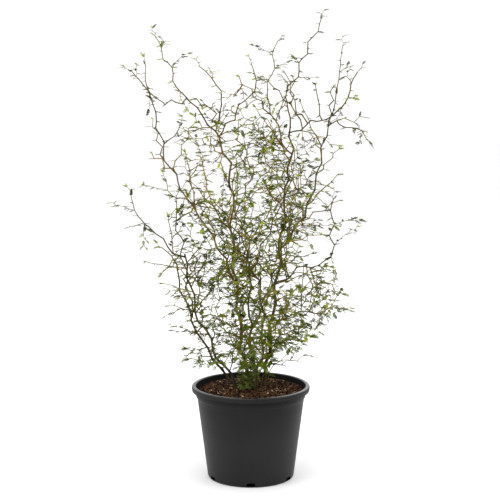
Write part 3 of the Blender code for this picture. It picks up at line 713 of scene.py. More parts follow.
barkSpec = {
    "sides": 12, "twigSides": 4, "ringSpacing": 0.0026, "cornerRadius": 0.16, "cornerPoints": 4,
    "relief": 0.10, "ridges": (2.2, 60),       # fineness round the limb and along it
    "fineRidges": (420, 0.6),                  # fineness and strength
    "kinkSwelling": 0.20, "kinkReach": 0.0035,
    "subKink": {"stem": 0.085, "bough": 0.055, "shoot": 0.050},        # small kinks, as a share of the run
    "kinkPlace": (0.4, 0.6), "kinkJitter": (0.5, 1.4),
    "slimming": {"stem": 0.92, "bough": 1.12}, "collar": 1.4, "collarReach": 0.005, "flareReach": 0.008,
    # the bark turns darker towards the foot: share of the noise kept there, and the heights of that change
    "look": {"noise": (160.0, 5.0, (1.0, 1.0, 0.22)), "lowDarkening": (0.55, 0.225, 0.310), "roughness": (0.60, 0.85),
             "shine": 0.20, "relief": (0.5, 0.0006)},
    "ramp": (0.18, 0.32, 0.50, 0.70), "foot": (0.085, 0.068, 0.024),
    "tints": {                     # piece, dark, middle and light colour
        "bark_stems": ((0.028, 0.021, 0.007), (0.066, 0.048, 0.016), (0.138, 0.094, 0.036)),
        "bark_tan": ((0.050, 0.026, 0.008), (0.140, 0.078, 0.026), (0.270, 0.165, 0.066)),
        "bark_rust": ((0.034, 0.018, 0.005), (0.088, 0.046, 0.013), (0.180, 0.100, 0.030)),
        "bark_olive": ((0.022, 0.018, 0.006), (0.058, 0.045, 0.016), (0.125, 0.098, 0.040)),
    },
    "tan": ("stem_middle", "bough_left"),
    "rust": ("bough_high_left", "bough_high_right", "bough_right", "bough_top_middle", "bough_upper_middle",
             "bough_back_rise", "bough_middle_right"),
}


def barkFinish(name, tints):
    spec = barkSpec
    return newFinish(name, spec["look"], tints[1], list(zip(spec["ramp"], (spec["foot"], *tints))))


def kinkMore(path, share, rng):
    # adds a small kink in each run, each to another side
    kinked = [path[0]]
    for a, b in zip(path, path[1:]):
        run = b - a
        side = turned(run.orthogonal().normalized(), rng.uniform(0, 2 * math.pi), run.normalized())
        middle = a.lerp(b, rng.uniform(*barkSpec["kinkPlace"]))
        kinked += [middle + side * (share * run.length * rng.uniform(*barkSpec["kinkJitter"])), b]
    return kinked


def roundCorners(path):
    # replaces each kink by a short curve, then walks along with even steps
    dense = [path[0]]
    for before, here, after in zip(path, path[1:], path[2:]):
        cut = barkSpec["cornerRadius"] * min((here - before).length, (after - here).length) * 0.5
        a = here + (before - here).normalized() * cut
        b = here + (after - here).normalized() * cut
        for t in (index / (barkSpec["cornerPoints"] - 1) for index in range(barkSpec["cornerPoints"])):
            dense.append(a.lerp(here, t).lerp(here.lerp(b, t), t))
    dense.append(path[-1])
    walked = [dense[0]]
    for a, b in zip(dense, dense[1:]):
        count = max(1, math.ceil((b - a).length / barkSpec["ringSpacing"]))
        walked += [a.lerp(b, index / count) for index in range(1, count + 1)]
    return walked


def ringsAlong(path, first, last, sides):
    # for each point of a path: the point, how far along it is, the radius, and the ways to its ring's corners
    walked = list(itertools.accumulate(runLengths(path), initial=0.0))
    angles = [2 * math.pi * side / sides for side in range(sides)]
    across = None
    for index, (centre, length) in enumerate(zip(path, walked)):
        before, after = path[max(0, index - 1)], path[min(len(path) - 1, index + 1)]
        tangent = (after - before).normalized()
        if across is None:
            across = tangent.orthogonal().normalized()
        across = (across - tangent * across.dot(tangent)).normalized()
        other = tangent.cross(across)
        ways = [across * math.cos(angle) + other * math.sin(angle) for angle in angles]
        yield centre, length, first + (last - first) * length / walked[-1], ways


def tubeFaces(rings, sides):
    return [(low + side, low + (side + 1) % sides, low + sides + (side + 1) % sides, low + sides + side)
            for low in range(0, (rings - 1) * sides, sides) for side in range(sides)]


def addBarkTube(store, limb, kind):
    spec, sides = barkSpec, barkSpec["sides"]
    path = roundCorners(limb.bark)
    slimming = spec["slimming"][kind]
    around, along = spec["ridges"]
    fine, strength = spec["fineRidges"]
    points = []
    for centre, walked, radius, ways in ringsAlong(path, limb.first * slimming, limb.last * slimming, sides):
        if kind == "stem":
            over = max(0.0, walked - limbGrowth["stemFoot"])
            swelling = 1 + (limbGrowth["flare"] - 1) * math.exp(-over / spec["flareReach"])
        else:
            swelling = 1 + (spec["collar"] - 1) * math.exp(-((walked / spec["collarReach"]) ** 2))
        nearest = min((centre - kink).length for kink in limb.path[1:-1])
        swelling += spec["kinkSwelling"] * math.exp(-((nearest / spec["kinkReach"]) ** 2))
        for way in ways:
            ridge = noise.noise(Vector((way.x * around, way.y * around, walked * along)))
            ridge += strength * noise.noise((centre + way * radius) * fine)
            points.append(tuple(centre + way * (radius * swelling * (1 + spec["relief"] * ridge))))
    faces = tubeFaces(len(path), sides)
    last, tip = (len(path) - 1) * sides, len(points)
    points.append(tuple(path[-1] + (path[-1] - path[-2]).normalized() * limb.last * 0.5))
    for side in range(0, sides, 2):        # closing cap as quads that meet in its middle
        faces.append((last + side, last + side + 1, last + (side + 2) % sides, tip))
    store.add(points, faces)


def makeBark():
    spec = barkSpec
    stores = {name: Store() for name in spec["tints"]}
    nodes = {name: [] for name in spec["tints"]}
    for number, (name, limb) in enumerate(limbs.items()):
        kind = "stem" if name in stemPlan else "bough"
        piece = {"stem": "bark_stems", "bough": "bark_olive"}[kind]
        piece = "bark_tan" if name in spec["tan"] else "bark_rust" if name in spec["rust"] else piece
        whole = [limb.foot] + limb.path[(0 if kind == "stem" else 1):]
        rng = random.Random(limbGrowth["seeds"]["bark"] + number)
        limb.bark = kinkMore(whole, spec["subKink"][kind], rng)
        addBarkTube(stores[piece], limb, kind)
        nodes[piece].append(name)
    for name, tints in spec["tints"].items():
        stores[name].build(name, barkFinish(name, tints), "bark", nodes[name])


makeBark()


# twigs and leaves: the shoots and limbs carried on to arms, twigs and finer twigs

crownSpec = {
    "fullness": [                  # height, share of the twigs in the core, the core's radius, share outside
        (0.22, 0.02, 0.040, 0.02), (0.26, 0.35, 0.050, 0.10), (0.30, 0.74, 0.100, 0.30),
        (0.38, 0.70, 0.130, 0.36), (0.50, 0.43, 0.145, 0.26), (0.62, 0.32, 0.150, 0.18),
        (0.74, 0.32, 0.155, 0.13), (0.84, 0.31, 0.160, 0.10), (0.91, 0.18, 0.150, 0.07),
        (0.98, 0.06, 0.110, 0.03), (1.12, 0.03, 0.060, 0.02),
    ],
    "places": [                    # x, height, radius, how much opener or fuller the crown is there
        (-0.189, 0.493, 0.066, 0.55), (0.188, 0.563, 0.066, 0.50), (0.145, 0.875, 0.050, 0.40),
        (0.155, 0.455, 0.028, 2.40), (0.195, 0.440, 0.025, 1.60), (0.045, 0.810, 0.045, 2.00),
        (-0.090, 0.560, 0.035, 1.30), (0.070, 0.395, 0.040, 1.60), (0.115, 0.365, 0.030, 2.60),
        (-0.155, 0.830, 0.050, 1.30), (-0.010, 0.835, 0.050, 1.80), (0.095, 0.650, 0.060, 1.60),
        (-0.125, 0.700, 0.032, 0.60), (-0.150, 0.610, 0.040, 1.80), (0.022, 0.530, 0.035, 1.80),
        (-0.065, 0.465, 0.050, 2.30), (-0.075, 0.380, 0.040, 0.50), (-0.020, 0.370, 0.040, 0.65),
        (-0.090, 0.290, 0.035, 0.80), (-0.130, 0.340, 0.045, 0.28), (0.050, 0.310, 0.045, 0.40),
        (-0.105, 0.525, 0.035, 1.30), (0.135, 0.485, 0.036, 0.30), (0.025, 0.730, 0.055, 1.80),
        (-0.130, 0.446, 0.030, 0.45), (0.022, 0.446, 0.028, 0.80), (0.155, 0.745, 0.035, 0.60),
        (0.070, 0.520, 0.035, 1.50), (-0.045, 0.620, 0.040, 1.25), (-0.030, 0.705, 0.040, 0.80),
    ],
    "edgeWidth": 0.050, "depthShare": 0.70,    # the crown stays full further in depth
    "patch": 15.0, "patchDepth": 0.9,          # small fuller and opener patches: how many a metre, how strong
    "fullnessRange": (0.02, 1.6), "fullnessNeed": 2.5,
    "clearance": 0.0010, "boxMargin": 0.002, "leafMargin": 0.001, "overCompost": 0.004,
    "skip": 0.0110, "sample": 0.003,           # a twig's foot is not tested, the rest at this spacing
    "riseTop": 0.970,              # height that no rising twig passes
    "openTop": 0.820, "openShare": 0.45, "openReach": 0.020,   # above this height some side twigs are dropped
    "limbReach": {"rise": 0.210, "arm": 0.110, "leafy": 0.080, "sprout": 0.055},
    "twigReach": 0.045, "brownShare": 0.4, "bareFoot": 4,
    "tuftLeaves": (2, 4), "tuftLength": (0.0058, 0.0095),
    "tuftSpread": ((-0.7, 0.7), (-0.7, 0.7), (-0.2, 0.7)),
    "limeFrom": 0.400,             # tufts under this height are darker
    "sprouts": 20, "sproutTurn": 2.4,          # short shoots at the middle stem
    "sproutFoot": (0.004, 0.010), "sproutRing": (0.006, 0.013), "sproutLift": 0.004,
    "sproutsForward": 0.036, "sproutLean": (-0.05, 0.20),
    # the sprouts at the stem's foot sit in shade and mostly take the lighter soft tint, painted light
    "sproutLeaves": ("leaves_soft", "leaves_soft", "leaves_soft", "leaves_green"),
    "leafyLeaves": ("leaves_green", "leaves_green", "leaves_olive", "leaves_soft"),
    "leafyHeights": (0.255, 0.360),            # of the leafy shoots low on the stems
    "tintHeights": (0.35, 0.85),
    "greenFoot": (0.340, 0.080, 3.0),          # height and radius of the greener foot, how much greener
}

# each kind of twig: tries along its carrier, room round its tip, how the room grows where the crown is open,
# length, zigzag, radii, lift, pull inwards, fewest points, share with a lime tuft, twigs that need its room
twigSpec = {
    "rise": {"spacing": 0.022, "apart": 0.042, "thinning": 0.22, "length": (0.110, 0.210),
             "steps": (0.0230, 0.28), "radii": (0.00200, 0.00104), "lift": (0.3, 2.3), "inward": 0.45,
             "fewest": 3, "from": ("rise",)},
    "arm": {"spacing": 0.010, "apart": 0.032, "thinning": 0.25, "length": (0.045, 0.140),
            "steps": (0.0190, 0.28), "radii": (0.00170, 0.00094), "lift": (0.0, 0.8), "inward": 0.0,
            "fewest": 3, "from": ("rise", "arm")},
    "twig": {"spacing": 0.008, "apart": 0.0184, "thinning": 0.5, "length": (0.022, 0.062),
             "steps": (0.0125, 0.30), "radii": (0.00116, 0.00072), "lift": (0.0, 0.2), "inward": 0.0,
             "fewest": 3, "tufts": 0.15, "from": ("rise", "arm", "twig")},
    "fine": {"spacing": 0.010, "apart": 0.0145, "thinning": 0.5, "length": (0.010, 0.026),
             "steps": (0.0090, 0.30), "radii": (0.00078, 0.00058), "lift": (0.0, 0.0), "inward": 0.0,
             "fewest": 2, "tufts": 0.06, "from": ("arm", "twig", "fine")},
    "leafy": {"spacing": 0.006, "apart": 0.0142, "thinning": 0.5, "length": (0.035, 0.085),
              "steps": (0.0085, 0.26), "radii": (0.00090, 0.00055), "lift": (0.1, 1.0), "inward": 0.0,
              "fewest": 4, "from": ("arm", "twig", "leafy")},
    "sprout": {"length": (0.040, 0.105), "steps": (0.0075, 0.24), "radii": (0.00075, 0.00045), "fewest": 3},
}

branchRule = {
    "firstStep": (0.3, 1.0), "stepJitter": (0.7, 1.3), "forward": (0.25, 0.85), "turn": 0.9,
    "inward": (0.0, 2.0), "shortening": (1.05, 0.45), "fullnessAt": 0.6, "middleApart": 0.6, "roomCell": 0.7,
}

twigTints = {                      # piece, dark, middle and light colour, share low and high in the crown
    "twigs_rust": (((0.072, 0.038, 0.003), (0.205, 0.118, 0.010), (0.360, 0.230, 0.028)), 0.08, 0.34),
    "twigs_olive": (((0.048, 0.042, 0.000), (0.145, 0.122, 0.000), (0.290, 0.240, 0.004)), 0.64, 0.22),
    "twigs_brown": (((0.030, 0.019, 0.000), (0.085, 0.056, 0.000), (0.175, 0.118, 0.002)), 0.28, 0.44),
}

leafSpec = {
    "length": (0.0090, 0.0150), "lengthHeights": (0.30, 0.90), "lengthFactors": (1.32, 1.10),
    "pairs": (4, 5, 6), "variants": 2, "seed": 90,
    "typical": 0.0125, "leafletLength": 0.0034, "leafletWidth": 0.0028,         # leaflets of a leaf this long
    "rib": 0.020, "ribShares": ((0.0, 1.0), (0.5, 0.8), (0.94, 0.4)),           # half width, share by place
    "fold": 0.20, "sag": 0.10, "leafletLift": (-0.35, 0.30),
    "pairsFrom": 0.14, "pairsSpan": 0.80, "endPlace": 0.96,                     # leaflets along the rib
    "leafletAngle": (70, 16, 9),   # degrees from the rib, how much less at the tip, jitter
    "tipShrink": 0.35, "leafletJitter": (0.85, 1.15),
    "outline": [                   # along the leaflet, across it, lift of the fold
        (0.0, 0.0, 0.0), (0.35, -0.5, 1.0), (0.78, -0.36, 0.8),
        (1.0, 0.0, 0.0), (0.78, 0.36, 0.8), (0.35, 0.5, 1.0)],
    "twins": 0.40, "twinLength": 0.85,         # share of kinks with a second leaf where the crown is full
    "forward": (0.1, 0.7), "twinForward": (0.2, 0.8), "flatness": 0.4, "roll": (-0.6, 0.6),
    "tipStandIn": 0.46, "level": 0.55,         # nearly level, drooping a little
    "scatter": ((-0.35, 0.35), (-0.35, 0.35), (-0.38, 0.12)),
    "look": {"noise": (420.0, 2.0), "roughness": (0.47, 0.69), "shine": 0.03, "relief": (0.2, 0.0003)},
    "tints": {                     # piece, base colour, share low and high in the crown
        # the two darkest tints are partly the leaves' own dark green and partly painted shade, dark leaves
        # standing in for shaded ones in the crown
        "leaves_deep": ((0.015, 0.026, 0.001), 0.16, 0.42),
        "leaves_shade": ((0.042, 0.058, 0.000), 0.18, 0.22),
        "leaves_green": ((0.072, 0.118, 0.002), 0.34, 0.10),
        "leaves_olive": ((0.120, 0.142, 0.006), 0.15, 0.12),
        "leaves_light": ((0.230, 0.268, 0.014), 0.11, 0.16),
        "leaves_lime": ((0.300, 0.380, 0.024), 0.0, 0.0),
        # a greyer tint, lighter than the leaves are: painted light for shoots that sit in shade
        "leaves_soft": ((0.165, 0.212, 0.050), 0.10, 0.04),
    },
}


def scatter(rng, *spans):
    return Vector([rng.uniform(*span) for span in spans])


def fullnessAt(point):
    spec = crownSpec
    heights, *columns = zip(*spec["fullness"])
    share, core, outside = [float(np.interp(point.z, heights, column)) for column in columns]
    past = (math.hypot(point.x, point.y * spec["depthShare"]) - core) / spec["edgeWidth"]
    past = min(1.0, max(0.0, past))
    fullness = share * (1 - past) + min(share, outside) * past
    for x, height, radius, factor in spec["places"]:
        near = math.exp(-((point.x - x) ** 2 + (point.z - height) ** 2) / radius ** 2)
        fullness *= 1 + (factor - 1) * near
    fullness *= 1 + spec["patchDepth"] * noise.noise(point * spec["patch"])
    low, high = spec["fullnessRange"]
    return min(high, max(low, fullness))


class Room:
    # points along the lines grown so far, in cells, to find out whether a place is still open
    def __init__(self, cell):
        self.cell = cell
        self.cells = {}

    def key(self, point):
        return tuple(math.floor(part / self.cell) for part in point)

    def add(self, path):
        for point in samplePath(path, self.cell * 0.5):
            self.cells.setdefault(self.key(point), []).append(point)

    def isOpen(self, point, apart):
        span = math.ceil(apart / self.cell)
        around = [range(part - span, part + span + 1) for part in self.key(point)]
        return all((other - point).length >= apart
                   for cell in itertools.product(*around) for other in self.cells.get(cell, ()))


class Crown:
    # gathers twigs and leaves by colour until the pieces are built
    def __init__(self):
        self.twigs = {name: [] for name in twigTints}
        self.leaves = {name: [] for name in leafSpec["tints"]}
        self.rooms = {level: Room(spec["apart"] * branchRule["roomCell"])
                      for level, spec in twigSpec.items() if "apart" in spec}
        self.limbLines = linesOf(limbs.values())
        self.lowest = compostSpec["edgeHeight"] + compostSpec["mound"]

    def isFree(self, point, margin):
        inside = all(low + margin < part < high - margin
                     for low, part, high in zip(cadBox[0], point, cadBox[1]))
        return inside and point.z >= self.lowest + crownSpec["overCompost"] \
            and self.limbLines.distance(point) > crownSpec["clearance"]

    def keepTwig(self, line, level, tint):
        self.twigs[tint].append((line, *twigSpec[level]["radii"]))
        for roomLevel, room in self.rooms.items():
            if level in twigSpec[roomLevel]["from"]:
                room.add(line)


crown = Crown()
for limb, level in itertools.product([*limbs.values(), *shoots.values()], ("rise", "arm")):
    crown.rooms[level].add(limb.path)


def dealTint(kinds, point, rng):
    # a colour by its height in the crown, with greener leaves round the foot
    share = float(np.interp(point.z, crownSpec["tintHeights"], (1, 0)))
    weights = {name: low * share + high * (1 - share) for name, (_, low, high) in kinds.items()}
    height, radius, greener = crownSpec["greenFoot"]
    if "leaves_green" in weights and point.z < height and math.hypot(point.x, point.y) < radius:
        weights["leaves_green"] *= greener
    return rng.choices(list(weights), weights.values())[0]


def leafTint(point, rng):
    return dealTint(leafSpec["tints"], point, rng)


def addLeaf(root, way, tint, length, rng):
    spec = leafSpec
    way = way.normalized()
    way.z *= spec["level"]
    way += scatter(rng, *spec["scatter"])
    way.normalize()
    length *= float(np.interp(root.z, spec["lengthHeights"], spec["lengthFactors"]))
    if not crown.isFree(root + way * length, crownSpec["leafMargin"]):
        return
    across = way.cross(Vector((*scatter(rng, spec["roll"], spec["roll"]), 1.0))).normalized()
    kind = rng.randrange(len(spec["pairs"]) * spec["variants"])
    crown.leaves[tint].append((root, way, across, across.cross(way), length, kind))


def leafLine(path, tint, rng):
    # a leaf on the outer side of each kink, at times a second one, and one at the tip
    spec = leafSpec
    twins = spec["twins"] * fullnessAt(path[0])
    for before, here, after in zip(path, path[1:], path[2:]):
        out = here - before.lerp(after, 0.5)
        if out.length < 1e-6:
            continue
        out.normalize()
        way = (after - before).normalized()
        level = Vector((out.x, out.y, out.z * spec["flatness"]))
        addLeaf(here, level + way * rng.uniform(*spec["forward"]), tint, rng.uniform(*spec["length"]), rng)
        if rng.random() < twins:
            back = way * rng.uniform(*spec["twinForward"]) - level
            addLeaf(here, back, tint, rng.uniform(*spec["length"]) * spec["twinLength"], rng)
    addLeaf(path[-1], path[-1] - path[-2], tint, rng.uniform(*spec["length"]), rng)


def limeTuft(path, rng, chance=1.0):
    if chance < 1.0 and rng.random() >= chance:
        return
    way = (path[-1] - path[-2]).normalized()
    tint = "leaves_lime" if path[-1].z > crownSpec["limeFrom"] else "leaves_green"
    for _ in range(rng.randint(*crownSpec["tuftLeaves"])):
        spread = scatter(rng, *crownSpec["tuftSpread"])
        addLeaf(path[-1], way + spread, tint, rng.uniform(*crownSpec["tuftLength"]), rng)


def cutLine(path, fits):
    # keeps the line up to its first run that does not fit
    return [path[0]] + [b for a, b in itertools.takewhile(lambda run: fits(*run), zip(path, path[1:]))]


def freePart(path, reach, own):
    # a twig ends where it would leave its space or touch a limb
    def fits(a, b):
        tested = [point for point in samplePath([a, b], crownSpec["sample"])
                  if (point - path[0]).length > crownSpec["skip"]]
        return all(crown.isFree(point, crownSpec["boxMargin"]) for point in tested) \
            and own.distance(b) <= reach
    return cutLine(path, fits)


def branchOff(parent, level, own, reach, rng):
    # lines of the next level along a parent line, nearly square to it and to alternate sides
    spec, rule = twigSpec[level], branchRule
    total = sum(runLengths(parent))
    walked = spec["spacing"] * rng.uniform(*rule["firstStep"])
    turn = rng.uniform(0, 2 * math.pi)
    while walked < total:
        start, way = alongPath(parent, walked / total)
        aim = turned(way.orthogonal().normalized(), turn, way) + way * rng.uniform(*rule["forward"])
        aim.z += rng.uniform(*spec["lift"])
        aim -= Vector((start.x, start.y, 0)).normalized() * spec["inward"] * rng.uniform(*rule["inward"])
        aim.normalize()
        whole, shorter = rule["shortening"]
        length = rng.uniform(*spec["length"]) * (whole - shorter * walked / total)
        sideways = way.cross(aim) * rng.choice((-1, 1))
        line = zigzag(start, start + aim * length, spec["steps"], sideways, rng)
        fullness = fullnessAt(start.lerp(line[-1], rule["fullnessAt"]))
        apart = spec["apart"] / fullness ** spec["thinning"]
        isOpen = crown.rooms[level].isOpen
        if rng.random() < fullness * crownSpec["fullnessNeed"] and isOpen(line[-1], apart) \
                and isOpen(line[len(line) // 2], apart * rule["middleApart"]):
            line = freePart(line, reach, own)
            if len(line) >= spec["fewest"]:
                yield line
        turn += math.pi + rng.uniform(-rule["turn"], rule["turn"])
        walked += spec["spacing"] * rng.uniform(*rule["stepJitter"])


def growTwigs(parent, reach, tint, rng):
    own = Lines([parent])
    for twig in branchOff(parent, "twig", own, reach, rng):
        leaves = leafTint(twig[0], rng)
        crown.keepTwig(twig, "twig", tint)
        leafLine(twig, leaves, rng)
        limeTuft(twig, rng, twigSpec["twig"]["tufts"])
        for fine in branchOff(twig, "fine", own, reach, rng):
            crown.keepTwig(fine, "fine", "twigs_brown" if rng.random() < crownSpec["brownShare"] else tint)
            leafLine(fine, leaves, rng)
            limeTuft(fine, rng, twigSpec["fine"]["tufts"])


def growArms(limb, level, rng):
    if level == "rise":
        leafLine(limb.bark[crownSpec["bareFoot"]:], leafTint(limb.path[-1], rng), rng)
    arms = []
    for carrier in [limb.bark] + [rise for rise, tint in limb.rises]:
        for arm in branchOff(carrier, level, Lines([carrier]), crownSpec["limbReach"][level], rng):
            if arm[-1].z > crownSpec["riseTop"]:
                continue
            tint = dealTint(twigTints, arm[0], rng)
            crown.keepTwig(arm, level, tint)
            leafLine(arm, leafTint(arm[0], rng), rng)
            limeTuft(arm, rng)
            arms.append((arm, tint))
    if level == "rise":
        limb.rises = arms
        return
    growLeafy(limb, rng)
    for arm, tint in limb.rises + arms:
        growTwigs(arm, crownSpec["twigReach"], tint, rng)


def growLeafy(limb, rng):
    # dense leafy shoots low on a limb
    low, high = crownSpec["leafyHeights"]
    for shoot in branchOff(limb.bark, "leafy", Lines([limb.bark]), crownSpec["limbReach"]["leafy"], rng):
        if low < shoot[0].z < high:
            crown.keepTwig(shoot, "leafy", "twigs_olive")
            leafLine(shoot, rng.choice(crownSpec["leafyLeaves"]), rng)


def growSprouts(stem, rng):
    # short leafy shoots that rise round the foot of a stem
    spec, sproutSpec = crownSpec, twigSpec["sprout"]
    own = Lines([stem.path])
    for number in range(spec["sprouts"]):
        out = turned(Vector((1, 0, 0)), spec["sproutTurn"] * number, "Z")
        root = stem.path[0] + Vector((0, 0, rng.uniform(*spec["sproutFoot"])))
        forward = rng.random() * spec["sproutsForward"]
        elbow = root + out * rng.uniform(*spec["sproutRing"]) + Vector((0, -forward, spec["sproutLift"]))
        aim = out * rng.uniform(*spec["sproutLean"]) + Vector((0, 0, 1))
        tip = elbow + aim * rng.uniform(*sproutSpec["length"])
        whole = [root] + zigzag(elbow, tip, sproutSpec["steps"], out, rng)
        sprout = freePart(whole, spec["limbReach"]["sprout"], own)
        if len(sprout) >= sproutSpec["fewest"]:
            crown.keepTwig(sprout, "sprout", "twigs_olive")
            leafLine(sprout, rng.choice(spec["sproutLeaves"]), rng)


# each mass as the solids have it: side twigs at its shoot's kinks, and places for leaves in its own space

massRule = {
    "twigSteps": (0.028, 0.22), "twigTurn": 0.9, "twigForward": (0.25, 0.75), "twigLength": (0.75, 1.1),
    "shortening": (1.05, 0.55), "leafLength": 0.034, "leafJitter": (0.75, 1.1), "leafForward": (0.2, 0.7),
    "leafScatter": ((-0.3, 0.3), (-0.3, 0.3), (-0.35, 0.15)), "leafTilt": (-0.5, 0.5), "middle": 0.55,
    "outreach": 0.014, "spaceMargin": 0.0022, "limbClearance": 0.0012, "overCompost": 0.010,
    "twigRadii": (0.00095, 0.00055), "subKink": 0.10, "shootGirth": 1.50, "shootTip": 0.00110,
}


def keepsSpace(points, own, others, reach):
    ground = crown.lowest + massRule["overCompost"]
    for point in points:
        mine = own.distance(point)
        if mine > reach or mine + massRule["spaceMargin"] > others.distance(point) or point.z < ground \
                or crown.limbLines.distance(point) < massRule["limbClearance"]:
            return False
    return True


def planTwigs(shoot, reach, rng):
    rule = massRule
    whole, shorter = rule["shortening"]
    for index, (before, here, after) in enumerate(zip(shoot, shoot[1:], shoot[2:]), 1):
        share = index / (len(shoot) - 1)
        along = (after - before).normalized()
        outer = here - before.lerp(after, 0.5)
        if outer.length < 1e-5:
            outer = along.orthogonal()
        outer = turned(outer.normalized(), rng.uniform(-rule["twigTurn"], rule["twigTurn"]), along)
        way = (outer + along * rng.uniform(*rule["twigForward"])).normalized()
        length = reach * (whole - shorter * share) * rng.uniform(*rule["twigLength"])
        sideways = along.cross(way) * rng.choice((-1, 1))
        yield zigzag(here, here + way * length, rule["twigSteps"], sideways, rng)


def planLeaf(root, way, isEnd, rng):
    way = way + scatter(rng, *massRule["leafScatter"])
    scatter(rng, massRule["leafTilt"], massRule["leafTilt"])     # the solids' leaves also draw a tilt here
    length = massRule["leafLength"] * rng.uniform(*massRule["leafJitter"])
    return root, root + way.normalized() * length, isEnd


def planLeaves(path, isDense, rng):
    forward = massRule["leafForward"]
    places = []
    for index, (before, here) in enumerate(zip(path, path[1:]), 1):
        along = (here - before).normalized()
        if here is path[-1]:
            places.append(planLeaf(here, along, True, rng))
        else:
            out = (here - before.lerp(path[index + 1], 0.5)).normalized()
            places.append(planLeaf(here, out + along * rng.uniform(*forward), False, rng))
        if isDense:
            out = turned(along.orthogonal(), rng.uniform(0, 2 * math.pi), along).normalized()
            middle = before + (here - before) * massRule["middle"]
            places.append(planLeaf(middle, out + along * rng.uniform(*forward), False, rng))
    return places


def planMass(name, reach, rng):
    own = Lines([shoots[name].path])
    others = Lines([shoot.path for shoot in shoots.values() if shoot.name != name])
    places = planLeaves(shoots[name].path, False, rng)
    twigs = []
    for twig in list(planTwigs(shoots[name].path, reach, rng)):
        kept = cutLine(twig, lambda a, b: keepsSpace(samplePath([a, b]), own, others, reach))
        if len(kept) > 1:
            twigs.append(kept)
            places += planLeaves(kept, reach >= limbGrowth["denseReach"], rng)
    outer = reach + massRule["outreach"]
    return twigs, [place for place in places if keepsSpace(samplePath(place[:2]), own, others, outer)]


def addSpray(root, tip, tint, leaves, rng):
    # a fine zigzag twig with small leaves where the solids have one large leaf
    way = (tip - root).normalized()
    end = tip - way * sum(leafSpec["length"]) * leafSpec["tipStandIn"]
    side = way.orthogonal() if rng.random() < 0.5 else way.cross(Vector((0, 0, 1)))
    path = zigzag(root, end, twigSpec["fine"]["steps"], side, rng)
    crown.keepTwig(path, "fine", tint)
    leafLine(path, leaves, rng)
    return path


def growMass(shoot, reach, twigs, places, rng):
    spec, rule = crownSpec, massRule
    shoot.bark = kinkMore([shoot.foot] + shoot.path[1:], barkSpec["subKink"]["shoot"], rng)
    shoot.tint = dealTint(twigTints, shoot.path[-1], rng)
    if shoot.path[-1].z > spec["openTop"]:
        shoot.tint = "twigs_brown"
    crown.twigs[shoot.tint].append((shoot.bark, shoot.first * rule["shootGirth"], rule["shootTip"]))
    dropped = []
    for twig in twigs:
        if twig[0].z > spec["openTop"] and rng.random() > spec["openShare"]:
            dropped += twig[1:]
            continue
        twig = kinkMore(twig, rule["subKink"], rng)
        crown.twigs[shoot.tint].append((twig, *rule["twigRadii"]))
        for level in ("arm", "twig"):
            crown.rooms[level].add(twig)
        leafLine(twig, leafTint(twig[0], rng), rng)
    for root, tip, isEnd in places:
        if any((root - point).length < spec["openReach"] for point in dropped):
            continue
        if isEnd or rng.random() < fullnessAt(root):
            spray = addSpray(root, tip, shoot.tint, leafTint(root, rng), rng)
            if isEnd:
                limeTuft(spray, rng)
    leafLine(shoot.bark, leafTint(shoot.bark[-1], rng), rng)


def growCrown():
    seeds = limbGrowth["seeds"]
    reaches = {name: plan[3] for name, plan in massPlan.items()}
    for number, (name, reach) in enumerate(reaches.items()):
        plan = planMass(name, reach, random.Random(seeds["twig"] + number))
        growMass(shoots[name], reach, *plan, random.Random(seeds["mass"] + number))
    for level in ("rise", "arm"):
        for number, limb in enumerate(limbs.values()):
            growArms(limb, level, random.Random(seeds["arm"] + number))
    for number, (name, reach) in enumerate(reaches.items()):
        growTwigs(shoots[name].bark, reach, shoots[name].tint, random.Random(seeds["fine"] + number))
    growSprouts(limbs["stem_middle"], random.Random(seeds["sprout"]))


def makeTwigs():
    sides = barkSpec["twigSides"]
    for name, (tints, *_) in twigTints.items():
        store = Store()
        for path, first, last in crown.twigs[name]:
            rings = ringsAlong(path, first, last, sides)
            points = [tuple(centre + way * radius) for centre, _, radius, ways in rings for way in ways]
            cap = tuple(range(len(points) - sides, len(points)))
            store.add(points, tubeFaces(len(path), sides) + [cap])
        store.build(name, barkFinish(name, tints), "bark", list(massPlan) if name == "twigs_rust" else [])


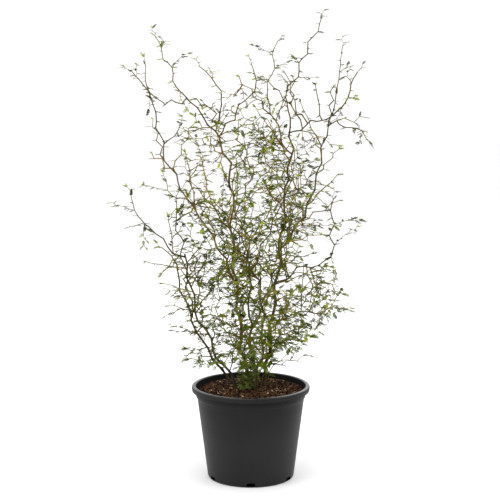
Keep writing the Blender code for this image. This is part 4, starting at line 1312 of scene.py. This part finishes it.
def leafPattern(pairs, rng):
    # one leaf, 1 long along X: a thin rib and pairs of folded leaflets, each of two quads
    spec = leafSpec
    points = []
    for x, share in spec["ribShares"]:
        half, sag = spec["rib"] * share, -spec["sag"] * x * x
        points += [(x, -half, sag), (x, 0.0, sag + half), (x, half, sag)]
    faces = tubeFaces(3, 3)
    long, wide = spec["leafletLength"] / spec["typical"], spec["leafletWidth"] / spec["typical"]
    square, less, jitter = spec["leafletAngle"]
    for index in range(pairs * 2 + 1):
        isLast = index == pairs * 2
        row = index // 2
        x = spec["endPlace"] if isLast else spec["pairsFrom"] + spec["pairsSpan"] * row / (pairs - 0.4)
        side = 0 if isLast else (1 if index % 2 else -1)
        size = (1.0 - spec["tipShrink"] * (row / pairs) ** 2) * rng.uniform(*spec["leafletJitter"])
        angle = side * math.radians(square - less * row / pairs + rng.uniform(-jitter, jitter))
        lift = rng.uniform(*spec["leafletLift"])
        cos, sin = math.cos(angle), math.sin(angle)
        start = len(points)
        for u, v, up in spec["outline"]:
            px, py = u * long * size, v * wide * size
            height = -spec["sag"] * x * x + up * spec["fold"] * wide * size + lift * px
            points.append((x + px * cos - py * sin, px * sin + py * cos, height))
        faces += [(start, start + 1, start + 2, start + 3), (start, start + 3, start + 4, start + 5)]
    return np.array(points), np.array(faces)


def makeLeaves():
    spec = leafSpec
    rng = random.Random(spec["seed"])
    patterns = [leafPattern(pairs, rng) for pairs in spec["pairs"] for _ in range(spec["variants"])]
    for name, (tint, *_) in spec["tints"].items():
        store = Store()
        for kind, (points, faces) in enumerate(patterns):
            rows = [row for row in crown.leaves[name] if row[5] == kind]
            if not rows:
                continue
            roots, turns = np.array([row[0] for row in rows]), np.array([row[1:4] for row in rows])
            lengths = np.array([row[4] for row in rows])
            placed = np.einsum("vk,nkj->nvj", points, turns) * lengths[:, None, None] + roots[:, None, :]
            shifted = faces[None, :, :] + (np.arange(len(rows)) * len(points))[:, None, None]
            store.add(placed.reshape(-1, 3), shifted.reshape(-1, 4))
        store.build(name, newFinish(name, spec["look"], tint), "leaf_green")


growCrown()
print("crown grown,", sum(len(rows) for rows in crown.twigs.values()), "twigs and",
      sum(len(rows) for rows in crown.leaves.values()), "leaves")
makeTwigs()
makeLeaves()
